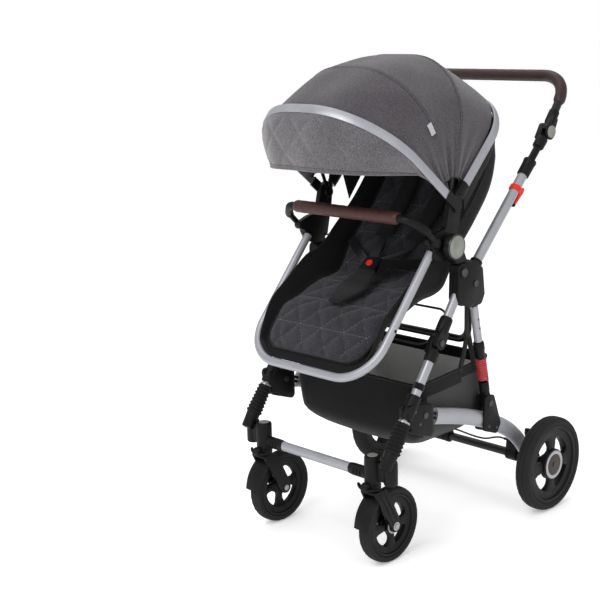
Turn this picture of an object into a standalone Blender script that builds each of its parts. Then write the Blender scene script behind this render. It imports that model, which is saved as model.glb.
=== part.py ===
"""Convertible pram: folding aluminium chassis with swivel front wheels, sprung rear legs and a
telescopic handle, carrying a reversible seat unit with bumper bar, harness and folding canopy.

Metres, +Z up, front of the pram towards -Y. Side views are written as (y, z) pairs, measured from
the rear axle along Y and from the floor along Z. The whole pram hangs on one empty, AXLE_Y further
back, so that its origin is at the middle of its footprint.
"""

import math

import bmesh
import bpy
from mathutils import Vector

# Overall sizes
AXLE_Y = 0.23244
SIDE_X = 0.229
GAP = 0.0003
SLIDE_GAP = 0.0004

# Wheels
REAR_WHEEL_R = 0.122
REAR_WHEEL_W = 0.040
REAR_WHEEL_X = 0.280
REAR_RIM_R = 0.102
REAR_HUB_R = 0.020
REAR_SPOKES = 4
WHEEL_SIDES = 20
FRONT_WHEEL_R = 0.0913
FRONT_WHEEL_W = 0.0325
FRONT_WHEEL_X = 0.1838
FRONT_WHEEL_Y = -0.514
FRONT_RIM_R = 0.076
FRONT_HUB_R = 0.014
FRONT_SPOKES = 4

# Casters and front crossbar
CASTER_X = 0.181
CASTER_Y = -0.565
HOUSING_R = 0.0195
HOUSING_LOW = 0.195
HOUSING_TOP = 0.2745
STEM_R = 0.005
FORK_ARM = 0.006
FORK_CLEAR = 0.0022
AXLE_BOLT_R = 0.004
BLOCK_Y = -0.557
BLOCK_LOW = 0.211
BLOCK_TOP = 0.268
BLOCK_R = 0.0165
CROSSBAR_Z = 0.227
CROSSBAR_HALF = 0.120
SUSPENSION_TRAVEL = 0.010

# Front legs: one straight line in side view, split by the knee
LEG_TOP = (-0.300, 0.640)
LEG_FOOT = (-0.556, 0.284)
LEG_R = 0.0112
LEG_ROD_R = 0.007
UPPER_LEG = (0.040, 0.092)
KNEE_AT = 0.155
KNEE_R = 0.021
LOWER_LEG_FROM = 0.205
SLEEVE_AT = (0.292, 0.352)
SLEEVE_R = 0.0165
BELLOWS_TO = 0.4375
PIN_R = 0.004
PIN_HEAD_R = 0.0075

# Side rails and rear axle
RAIL_PIVOT = (-0.4507, 0.3548)
RAIL_LINE = [(-0.400, 0.338), (-0.30, 0.312), (-0.223, 0.286), (-0.162, 0.260), (-0.105, 0.228),
             (-0.062, 0.192), (-0.034, 0.158)]
RAIL_DEEP = 0.020
RAIL_THICK = 0.010
AXLE_R = 0.011
AXLE_STUB_R = 0.006
FOOT_PIVOT = (-0.199, 0.323)
FOOT_LAP = 0.0015
RAIL_EYE_R = 0.0150
OPEN_PIVOT_CLEAR = 0.0042
BRAKE_RINGS = [(0.155, 0.190, 0.018), (-0.0490, -0.0350, 0.017), (-0.2105, -0.1835, 0.018)]
BRAKE_TOPS = [0.163, 0.152, 0.150]
CABLE_ROUTE = [(-0.0357, 0, 0.1455), (-0.010, 0.001, 0.1445), (0.030, 0.002, 0.1405), (0.060, 0.001, 0.1400),
               (0.084, 0, 0.1430), (0.110, 0, 0.1520), (0.130, 0, 0.1565), (0.1557, 0, 0.1555)]

# Upper joint, rear legs and shock absorbers
UPPER_PIVOT = (-0.265, 0.635)
JOINT_THICK = 0.015
TONGUE_HALF = 0.0048
RELEASE_AT = (-0.311, 0.668)
RELEASE_R = 0.0105
SPIGOT_X = 0.2225
SPIGOT_Y = -0.316
SPIGOT_R = 0.005
REAR_LEG_R = 0.010
SHOCK_R = 0.0125
SHOCK_TOP_AT = (0.155, 0.1975)
SPRING_TO = 0.2605
SPRING_TURNS = 7
SPRING_POINTS = 8
SPRING_R = 0.0117
SPRING_WIRE_R = 0.0022
SHOCK_BODY_TO = 0.287
SHOCK_TRAVEL = 0.012

# Handle
HANDLE_FOOT = (-0.270, 0.655)
KNUCKLE = (0.036, 0.966)
HANDLE_R = 0.012
INNER_R = 0.0095
HANDLE_TOP_AT = 0.335
COLLAR_AT = (0.297, 0.343)
KNUCKLE_R = 0.0205
BAR_Y = 0.1335
BAR_Z = 1.0962
BAR_BEND = 0.072
GRIP_R = 0.0148
BAR_R = 0.0112
TELESCOPE_TRAVEL = 0.08

# Crossbar under the seat
UBAR_X = 0.2052
UBAR_Y = -0.243
UBAR_Z = 0.485
UBAR_TOP = 0.612
UBAR_R = 0.009

# Seat unit
HUB = (-0.333, 0.731)
HUB_R = 0.030
HUB_PLATE = (0.2005, 0.2135)
CANOPY_AXIS = (-0.300, 0.820)
BACK_ANGLE = 45.0
BACK_HALF = 0.2045
BACK_LENGTH = 0.322
BACK_CORNER = 0.120
LOWER_FROM = (-0.379, 0.716)
LOWER_ANGLE = 229.5
LOWER_HALF = 0.198
LOWER_LENGTH = 0.345
LOWER_CORNER = 0.099
LOWER_R = 0.010
SEAT_HALF = 0.182
SEAT_SKIN = 0.004
PAD_THICK = 0.018
SEAT_BACK_LINE = [(-0.100, 0.955), (-0.092, 0.90), (-0.115, 0.83), (-0.175, 0.757), (-0.249, 0.683),
                  (-0.300, 0.612), (-0.38, 0.596), (-0.446, 0.572), (-0.498, 0.556), (-0.525, 0.528)]
SEAT_WALL_LINE = [(-0.120, 0.965), (-0.135, 0.935), (-0.158, 0.873), (-0.218, 0.80), (-0.292, 0.735),
                  (-0.345, 0.690), (-0.40, 0.672), (-0.462, 0.628), (-0.515, 0.590), (-0.540, 0.556)]
SEAT_FRONT = [(0.287, 0.0090, -0.0060), (0.309, 0.0080, -0.0030), (0.324, 0.0070, -0.0010),
              (0.3320, 0.0060, 0.0005)]
PAD_HALF = 0.160
PAD_FRONT = [(0.262, 0.0095, 0.150), (0.281, 0.0088, 0.132), (0.293, 0.0080, 0.100)]
BUMPER_PIVOT = (-0.385, 0.745)
BUMPER_BAR = (-0.450, 0.805)
BUMPER_HALF = 0.165
BUMPER_X = 0.2210
BUMPER_R = 0.0068
BUMPER_GRIP_R = 0.013
BUCKLE_AT = (-0.362, 0.664)
BUCKLE_TOP = (-0.346, 0.674)
CROTCH_END = (-0.398, 0.6190)
BUCKLE_OUTLINE = [(-0.386, 0.653), (-0.378, 0.641), (-0.338, 0.671), (-0.346, 0.684)]

# Canopy
BOW_ANGLE = 141.0
BOW_HALF = 0.2156
BOW_LENGTH = 0.376
BOW_CORNER = 0.19
BOW_BAND = 0.022
BOW_THICK = 0.0037
RIB_A_ANGLE = 112.0
RIB_B_ANGLE = 82.0
RIB_LENGTH = 0.3398
RIB_CORNER = 0.17
SKIN = 0.002
SKIN_HALF = 0.2055
SKIN_FROM = 0.065
VISOR_THICK = 0.0022

# Basket
BASKET_HALF = 0.205
BASKET_FRONT = -0.430
BASKET_BACK = -0.145
BASKET_LOW = 0.252
BASKET_TOP_FRONT = 0.410
BASKET_TOP_BACK = 0.428
BASKET_WALL = 0.003
LOOP_AT = (0.262, 0.276)


def clear_scene():
    """Remove whatever the file holds."""
    for obj in list(bpy.data.objects):
        bpy.data.objects.remove(obj)


def material(name, colour, roughness, metallic=0.0):
    """A plain Principled material."""
    mat = bpy.data.materials.new(name)
    mat.use_nodes = True
    shader = mat.node_tree.nodes["Principled BSDF"]
    shader.inputs["Base Color"].default_value = (*colour, 1.0)
    shader.inputs["Roughness"].default_value = roughness
    shader.inputs["Metallic"].default_value = metallic
    mat.diffuse_color = (*colour, 1.0)
    return mat


def unit(yz):
    """A side view direction of length one."""
    size = math.hypot(*yz)
    return yz[0] / size, yz[1] / size


def toward(angle):
    """The side view direction at an angle in degrees above +Y."""
    return math.cos(math.radians(angle)), math.sin(math.radians(angle))


def along(start, direction, distance):
    """A side view point some way from a start."""
    return start[0] + direction[0] * distance, start[1] + direction[1] * distance


def at(x, yz):
    """A side view point at one x."""
    return Vector((x, yz[0], yz[1]))


LEG_DIR = unit((LEG_FOOT[0] - LEG_TOP[0], LEG_FOOT[1] - LEG_TOP[1]))
REAR_DIR = unit((FOOT_PIVOT[0] - UPPER_PIVOT[0], FOOT_PIVOT[1] - UPPER_PIVOT[1]))
REAR_LENGTH = math.dist(FOOT_PIVOT, UPPER_PIVOT)
HANDLE_DIR = unit((KNUCKLE[0] - HANDLE_FOOT[0], KNUCKLE[1] - HANDLE_FOOT[1]))
HANDLE_LENGTH = math.dist(KNUCKLE, HANDLE_FOOT)
KNEE = along(LEG_TOP, LEG_DIR, KNEE_AT)


def leg(distance):
    """A point on the front leg's line."""
    return along(LEG_TOP, LEG_DIR, distance)


def rear(distance):
    """A point on the rear leg's line."""
    return along(UPPER_PIVOT, REAR_DIR, distance)


def handle(distance):
    """A point on the handle upright's line."""
    return along(HANDLE_FOOT, HANDLE_DIR, distance)


def arc_corner(before, corner, after, radius, steps, shares=(0.49, 0.49)):
    """Points of the arc that rounds one corner of a path."""
    a = (before - corner)
    b = (after - corner)
    half = a.angle(b) / 2
    reach = min(radius / math.tan(half), a.length * shares[0], b.length * shares[1])
    bend = reach * math.tan(half)
    bisector = (a.normalized() + b.normalized()).normalized()
    centre = corner + bisector * (bend / math.sin(half))
    first = corner + a.normalized() * reach - centre
    last = corner + b.normalized() * reach - centre
    return [centre + first.slerp(last, i / steps).normalized() * bend for i in range(steps + 1)]


def rounded_path(points, radius, steps=5):
    """An open path with its inner corners rounded."""
    points = [Vector(p) for p in points]
    path = [points[0]]
    last = len(points) - 2
    for i in range(1, len(points) - 1):
        shares = (0.98 if i == 1 else 0.49, 0.98 if i == last else 0.49)
        path += arc_corner(points[i - 1], points[i], points[i + 1], radius, steps, shares)
    return path + [points[-1]]


def rounded_outline(outline, radius, steps=3):
    """A closed side view outline with its corners rounded."""
    points = [Vector((0, *p)) for p in outline]
    path = []
    for i, corner in enumerate(points):
        path += arc_corner(points[i - 1], corner, points[(i + 1) % len(points)], radius, steps)
    return [(p.y, p.z) for p in path]


def disc(centre, radius, steps=16):
    """A round side view outline."""
    turn = 2 * math.pi / steps
    return [along(centre, (math.cos(i * turn), math.sin(i * turn)), radius) for i in range(steps)]


def loft(bm, rings, capped=True, closed=False):
    """Join rings of equal length by quads, with caps unless the rings close on themselves."""
    made = [[bm.verts.new(p) for p in ring] for ring in rings]
    pairs = list(zip(made, made[1:]))
    if closed:
        pairs.append((made[-1], made[0]))
    for one, two in pairs:
        for i in range(len(one)):
            j = (i + 1) % len(one)
            bm.faces.new((one[i], one[j], two[j], two[i]))
    if capped and not closed:
        bm.faces.new(made[0])
        bm.faces.new(made[-1])
    return made


def path_rings(points, half_in, half_across, across, sides):
    """Oval rings square to a path; half_across is measured along the direction across."""
    rings = []
    points = [Vector(p) for p in points]
    for i, point in enumerate(points):
        ahead = points[min(i + 1, len(points) - 1)]
        behind = points[max(i - 1, 0)]
        tangent = (ahead - point).normalized() + (point - behind).normalized()
        tangent.normalize()
        v = (across - tangent * across.dot(tangent)).normalized()
        u = v.cross(tangent)
        turns = [2 * math.pi * (k + 0.5) / sides for k in range(sides)]
        rings.append([point + u * half_in * math.cos(t) + v * half_across * math.sin(t) for t in turns])
    return rings


def sweep(bm, points, half_in, half_across=None, across=(1, 0, 0), sides=12):
    """A solid bar of round or oval section along a path."""
    half_across = half_across or half_in
    loft(bm, path_rings(points, half_in, half_across, Vector(across), sides))


def flat_bar(bm, points, thick, wide, across):
    """A flat band along a path, wide along the direction across, with eased edges."""
    rings = []
    for ring in path_rings(points, 1.0, 1.0, Vector(across), 8):
        centre = sum(ring, Vector()) / 8
        u = (ring[0] + ring[7] - 2 * centre).normalized()
        v = (ring[1] + ring[2] - 2 * centre).normalized()
        a = thick / 2
        b = wide / 2
        c = min(a, b) * 0.5
        shape = [(a, b - c), (a - c, b), (c - a, b), (-a, b - c), (-a, c - b), (c - a, -b), (a - c, -b),
            (a, c - b)]
        rings.append([centre + u * p + v * q for p, q in shape])
    loft(bm, rings)


def sleeve(bm, points, inner, outer, across=(1, 0, 0), sides=12):
    """A hollow round sleeve along a path, open at both ends."""
    skin = path_rings(points, outer, outer, Vector(across), sides)
    bore = path_rings(points, inner, inner, Vector(across), sides)
    skin = loft(bm, skin, capped=False)
    bore = loft(bm, bore, capped=False)
    for end in (0, -1):
        for i in range(sides):
            j = (i + 1) % sides
            bm.faces.new((skin[end][i], skin[end][j], bore[end][j], bore[end][i]))


def turned(bm, centre, axis, stations, sides=16):
    """A solid turned about an axis, from (distance along it, radius) stations."""
    axis = Vector(axis).normalized()
    u = axis.orthogonal().normalized()
    v = axis.cross(u)
    turns = [2 * math.pi * k / sides for k in range(sides)]
    rings = []
    for distance, radius in stations:
        middle = Vector(centre) + axis * distance
        rings.append([middle + (u * math.cos(t) + v * math.sin(t)) * radius for t in turns])
    loft(bm, rings)


def turned_ring(bm, centre, axis, profile, sides=16):
    """A ring turned about an axis, from a closed (distance along it, radius) profile."""
    axis = Vector(axis).normalized()
    u = axis.orthogonal().normalized()
    v = axis.cross(u)
    rings = []
    for k in range(sides):
        t = 2 * math.pi * k / sides
        spoke = u * math.cos(t) + v * math.sin(t)
        rings.append([Vector(centre) + axis * d + spoke * r for d, r in profile])
    loft(bm, rings, closed=True)


def plate(bm, outline, x0, x1, ease=0.0):
    """A flat plate from a side view outline, between two x, with eased edges."""
    if ease:
        middle = (sum(p[0] for p in outline) / len(outline), sum(p[1] for p in outline) / len(outline))
        spread = max(math.dist(p, middle) for p in outline)
        small = [along(middle, (p[0] - middle[0], p[1] - middle[1]), 1 - ease / spread) for p in outline]
        rings = [[at(x0, p) for p in small], [at(x0 + ease, p) for p in outline]]
        rings += [[at(x1 - ease, p) for p in outline], [at(x1, p) for p in small]]
    else:
        rings = [[at(x0, p) for p in outline], [at(x1, p) for p in outline]]
    loft(bm, rings)


def box(bm, low, high):
    """A plain block between two corners."""
    outline = [(low[1], low[2]), (high[1], low[2]), (high[1], high[2]), (low[1], high[2])]
    plate(bm, outline, low[0], high[0])


def both_sides(bm):
    """Add the mirror image across the middle of the pram."""
    copy = bmesh.ops.duplicate(bm, geom=bm.verts[:] + bm.edges[:] + bm.faces[:])
    for item in copy["geom"]:
        if isinstance(item, bmesh.types.BMVert):
            item.co.x = -item.co.x


def turn_out(bm):
    """Turn the faces of every closed body outwards."""
    bmesh.ops.recalc_face_normals(bm, faces=bm.faces[:])
    left = set(bm.faces)
    while left:
        body = [left.pop()]
        for face in body:
            for edge in face.edges:
                for other in edge.link_faces:
                    if other in left:
                        left.remove(other)
                        body.append(other)
        volume = 0.0
        for face in body:
            first = face.verts[0].co
            for one, two in zip(face.verts[1:], face.verts[2:]):
                volume += first.dot(one.co.cross(two.co))
        if volume < 0:
            bmesh.ops.reverse_faces(bm, faces=body)


def mesh_of(name, draw, side=1):
    """A mesh drawn by a function for the right side, for the left side (-1) or for both (0)."""
    bm = bmesh.new()
    draw(bm)
    if side == 0:
        both_sides(bm)
    if side == -1:
        for vert in bm.verts:
            vert.co.x = -vert.co.x
    turn_out(bm)
    mesh = bpy.data.meshes.new(name)
    bm.to_mesh(mesh)
    bm.free()
    mesh.shade_smooth()
    mesh.set_sharp_from_angle(angle=math.radians(35))
    return mesh


class Body:
    """A rigid group of pieces on one empty, which stands on the group's joint axis."""

    def __init__(self, name, pivot, parent=None):
        self.pivot = Vector(pivot)
        self.empty = bpy.data.objects.new(name + "_axis", None)
        bpy.context.collection.objects.link(self.empty)
        if parent:
            self.empty.parent = parent.empty
            self.empty.location = self.pivot - parent.pivot
        else:
            self.empty.location = self.pivot + Vector((0, AXLE_Y, 0))

    def link(self, obj):
        """Hang an object on this body, its geometry written in pram coordinates."""
        bpy.context.collection.objects.link(obj)
        obj.parent = self.empty
        obj.location = -self.pivot
        return obj

    def piece(self, name, mat, draw, side=1):
        """One named node."""
        mesh = mesh_of(name, draw, side)
        mesh.materials.append(mat)
        return self.link(bpy.data.objects.new(name, mesh))

    def pair(self, name, mat, draw):
        """The same piece on the right and on the left, drawn on the right."""
        return [self.piece(name + "_right", mat, draw, 1), self.piece(name + "_left", mat, draw, -1)]

    def shape(self, target, draw, operation, side=1):
        """Cut a shape from a node or a pair, or fuse one to it, by an exact Boolean."""
        if isinstance(target, list):
            for piece, piece_side in zip(target, (1, -1)):
                self.shape(piece, draw, operation, piece_side)
            return
        name = target.name + "_tool_" + str(len(target.modifiers))
        tool = self.link(bpy.data.objects.new(name, mesh_of(name, draw, side)))
        tool.hide_render = True
        tool.display_type = "WIRE"
        change = target.modifiers.new(operation.lower(), "BOOLEAN")
        change.operation = operation
        change.solver = "EXACT"
        change.object = tool


def wheel_profile(radius, rim_radius, width):
    """Closed tyre section: flat seat on the rim, rounded tread."""
    half = width / 2
    deep = radius - rim_radius
    tread = [(half * 0.80, rim_radius), (half, rim_radius + deep * 0.40),
        (half * 0.92, rim_radius + deep * 0.72)]
    tread += [(half * 0.62, rim_radius + deep * 0.94), (half * 0.22, radius)]
    return tread + [(-d, r) for d, r in reversed(tread)]


def rim_profile(rim_radius, width, hub_radius, bore_radius, hub_half):
    """Closed rim section: bored hub, thin web and outer band."""
    half = width * 0.40
    band = rim_radius - 0.012
    side = [(hub_half, bore_radius), (hub_half, hub_radius), (0.0045, hub_radius + 0.004),
        (0.0045, band - 0.002)]
    side += [(half, band), (half, rim_radius - GAP)]
    return side + [(-d, r) for d, r in reversed(side)]


def rim_window(bm, centre, hub_radius, band, spokes, phase):
    """The openings between the spokes, as plates through the web."""
    x, y, z = centre
    for i in range(spokes):
        middle = phase + 2 * math.pi * i / spokes
        spread = math.pi / spokes
        outline = []
        for radius, share in ((hub_radius + 0.010, 0.46), (band - 0.005, 0.72)):
            turns = [middle + spread * share * s for s in (-1, -0.33, 0.33, 1)]
            if outline:
                turns.reverse()
            outline += [(y + radius * math.cos(t), z + radius * math.sin(t)) for t in turns]
        plate(bm, outline, x - 0.02, x + 0.02)


def u_path(axis, angle, half, length, corner, start, steps=7):
    """A U in the plane that leans at an angle: up one side, across the top and down the other."""
    direction = toward(angle)
    low = along(axis, direction, start)
    top = along(axis, direction, length)
    points = [at(half, low), at(half, top), at(-half, top), at(-half, low)]
    return rounded_path(points, corner, steps)


def square_to(angle):
    """The direction square to a leaning plane."""
    return Vector((0, -math.sin(math.radians(angle)), math.cos(math.radians(angle))))


def skin_ring(angle, half, length, corner, start):
    """One section of a canopy panel: out along the U, back along its inside."""
    outer = u_path(CANOPY_AXIS, angle, half, length, corner, start, 6)
    inner = u_path(CANOPY_AXIS, angle, half - SKIN, length - SKIN, corner - SKIN, start, 6)
    return outer + inner[::-1]


def canopy_shape(angle):
    """Half width, length and corner of the canopy skin at an angle; it crowns between the ribs."""
    knots = [(48.0, 0.1965, 0.330, 0.130), (RIB_B_ANGLE, SKIN_HALF, 0.3445, 0.165),
             (97.0, SKIN_HALF, 0.352, 0.17), (RIB_A_ANGLE, SKIN_HALF, 0.3445, 0.175),
             (126.0, SKIN_HALF, 0.360, 0.18), (BOW_ANGLE, SKIN_HALF + 0.004, 0.368, 0.185)]
    for low, high in zip(knots, knots[1:]):
        if angle <= high[0] or high is knots[-1]:
            t = (angle - low[0]) / (high[0] - low[0])
            return tuple(a + (b - a) * t for a, b in zip(low[1:], high[1:]))
    return knots[-1][1:]


def canopy_panel(bm, first, last, steps=3):
    """A curved skin between two angles about the canopy axis."""
    angles = [first + (last - first) * i / steps for i in range(steps + 1)]
    loft(bm, [skin_ring(a, *canopy_shape(a), SKIN_FROM) for a in angles])


def offset_line(points, distance):
    """A side view line moved sideways, towards its front when walked downwards."""
    moved = []
    for i, point in enumerate(points):
        ahead = points[min(i + 1, len(points) - 1)]
        behind = points[max(i - 1, 0)]
        y, z = unit((ahead[0] - behind[0], ahead[1] - behind[1]))
        moved.append((point[0] + z * distance, point[1] - y * distance))
    return moved


def on_lower_frame(distance, below):
    """A side view point some way along the seat's lower frame, and some way below its plane."""
    down = toward(LOWER_ANGLE - 270)
    return along(along(LOWER_FROM, toward(LOWER_ANGLE), distance), down, below)


def inside_frame(distance):
    """Half the width of the fabric inside the lower frame, at a distance along it."""
    reach = LOWER_CORNER - LOWER_R - 0.002
    past = distance - (LOWER_LENGTH - LOWER_CORNER)
    return LOWER_HALF - LOWER_CORNER + math.sqrt(reach ** 2 - past ** 2)


# Materials
black = material("black_plastic", (0.02, 0.02, 0.022), 0.45)
silver = material("satin_aluminium", (0.62, 0.62, 0.63), 0.32, 1.0)
steel = material("steel", (0.55, 0.55, 0.56), 0.25, 1.0)
dark_steel = material("black_steel", (0.02, 0.02, 0.022), 0.35, 0.4)
red = material("red_plastic", (0.62, 0.03, 0.02), 0.35)
spring_red = material("red_spring", (0.45, 0.02, 0.02), 0.3)
grey_plastic = material("grey_plastic", (0.23, 0.25, 0.23), 0.5)
rubber = material("tyre_rubber", (0.02, 0.02, 0.02), 0.8)
dark_leather = material("dark_leather", (0.045, 0.025, 0.018), 0.5)
leather = material("brown_leather", (0.12, 0.04, 0.025), 0.45)
melange = material("melange_fabric", (0.09, 0.085, 0.08), 0.9)
shell_fabric = material("black_fabric", (0.025, 0.025, 0.027), 0.9)
pad_fabric = material("quilted_fabric", (0.10, 0.09, 0.105), 0.9)
mesh_fabric = material("mesh_fabric", (0.05, 0.05, 0.05), 0.9)


def pin(bm, yz, first, last, radius, head=None):
    """A pin across the side frame, with heads on its ends if a head radius is given."""
    stations = [(first, radius), (last, radius)]
    if head:
        stations = [(first - 0.003, head), (first, head), (first, radius), (last, radius), (last, head),
                    (last + 0.003, head)]
    turned(bm, at(SIDE_X, yz), (1, 0, 0), stations, 12)


def build_root():
    """Front legs with their lower knees, the front brackets and the basket."""
    body = Body("front_legs", at(0, KNEE))
    foot_of_rod = BELLOWS_TO + 0.028
    legs = body.pair("front_leg", silver, lambda bm: turned(
        bm, at(SIDE_X, leg(0)), at(0, LEG_DIR),
        [(LOWER_LEG_FROM - 0.004, LEG_R), (SLEEVE_AT[1], LEG_R), (SLEEVE_AT[1], LEG_ROD_R),
         (foot_of_rod, LEG_ROD_R)]))
    body.shape(legs, lambda bm: turned(
        bm, at(SIDE_X, leg(0)), at(0, LEG_DIR),
        [(KNEE_AT + KNEE_R + 0.002, 0.0150), (LOWER_LEG_FROM - 0.006, 0.0155), (LOWER_LEG_FROM, 0.0140)], 14),
        "UNION")
    side = (-LEG_DIR[1], LEG_DIR[0])

    def lower_lap(bm):
        foot = leg(KNEE_AT + KNEE_R + 0.012)
        outline = [along(along(KNEE, side, s * KNEE_R * 0.84), LEG_DIR, d) for s, d in
                   ((-1, 0), (-0.7, -0.0125), (0, -0.0175), (0.7, -0.0125), (1, 0))]
        outline += [along(foot, side, 0.013), along(foot, side, -0.013)]
        plate(bm, outline, SIDE_X - 0.0140, SIDE_X - GAP)
    body.shape(legs, lower_lap, "UNION")
    body.shape(legs, lambda bm: turned(
        bm, at(SIDE_X, KNEE), (1, 0, 0),
        [(-0.0165, PIN_HEAD_R), (-0.0100, PIN_HEAD_R), (-0.0100, PIN_R), (0.0143, PIN_R),
            (0.0143, PIN_HEAD_R),
         (0.0170, PIN_HEAD_R)], 12), "UNION")

    brackets = body.pair("front_bracket", black, lambda bm: turned(
        bm, at(SIDE_X, leg(0)), at(0, LEG_DIR),
        [(SLEEVE_AT[0], SLEEVE_R - 0.002), (SLEEVE_AT[0] + 0.003, SLEEVE_R), (SLEEVE_AT[1], SLEEVE_R)], 14))

    def cheeks(bm):
        outline = rounded_outline([(-0.513, 0.392), (-0.421, 0.376), (-0.421, 0.294),
            (-0.500, 0.322)], 0.010, 1)
        plate(bm, outline, SIDE_X + TONGUE_HALF + SLIDE_GAP, SIDE_X + JOINT_THICK)
        plate(bm, outline, SIDE_X - JOINT_THICK, SIDE_X - TONGUE_HALF - SLIDE_GAP)
    body.shape(brackets, cheeks, "UNION")
    body.shape(brackets, lambda bm: pin(
        bm, RAIL_PIVOT, 0.0005 - JOINT_THICK, JOINT_THICK - 0.0005, PIN_R, PIN_HEAD_R), "UNION")
    body.shape(brackets, lambda bm: turned(
        bm, at(SIDE_X, leg(0)), at(0, LEG_DIR),
        [(SLEEVE_AT[0] - 0.03, LEG_R + GAP), (SLEEVE_AT[1] + 0.03, LEG_R + GAP)], 14), "DIFFERENCE")

    def basket(bm):
        def rim(inset, low, drop):
            x = BASKET_HALF - inset - drop * 0.03
            front = BASKET_FRONT + inset + drop * 0.03
            back = BASKET_BACK - inset - drop * 0.06
            path = [(x, front), (x, back), (-x, back), (-x, front)]
            corners = []
            for i in range(4):
                near = [Vector((*path[k % 4], 0)) for k in (i - 1, i, i + 1)]
                corners += arc_corner(*near, 0.030 - inset, 2)
            ring = []
            for p in corners:
                share = (p.y - front) / (back - front)
                top = BASKET_TOP_FRONT + (BASKET_TOP_BACK - BASKET_TOP_FRONT) * share
                ring.append(Vector((p.x, p.y, top + (low - top) * drop)))
            return ring
        outer = [rim(0, BASKET_LOW, drop) for drop in (1, 0.5, 0)]
        inner = [rim(BASKET_WALL, BASKET_LOW + BASKET_WALL, drop) for drop in (0, 0.5, 1)]
        loft(bm, outer + inner)
    node = body.piece("basket", mesh_fabric, basket)

    def tab(bm):
        y, z = leg(0.269)
        outline = [(y + 0.012, z - 0.006), (y + 0.012, z + 0.006), (BASKET_FRONT + 0.020, z - 0.010),
                   (BASKET_FRONT + 0.020, z - 0.022)]
        plate(bm, outline, BASKET_HALF - 0.006, SIDE_X - LEG_R * 0.75)
    body.shape(node, tab, "UNION", 0)
    first, last = LOOP_AT
    body.shape(node, lambda bm: turned(
        bm, at(SIDE_X, leg(0)), at(0, LEG_DIR), [(first, LEG_R + 0.002), (last, LEG_R + 0.002)], 14),
            "UNION", 0)
    body.shape(node, lambda bm: turned(
        bm, at(SIDE_X, leg(0)), at(0, LEG_DIR), [(first - 0.02, LEG_R + GAP),
            (last + 0.02, LEG_R + GAP)], 14),
        "DIFFERENCE", 0)
    return body


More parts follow.
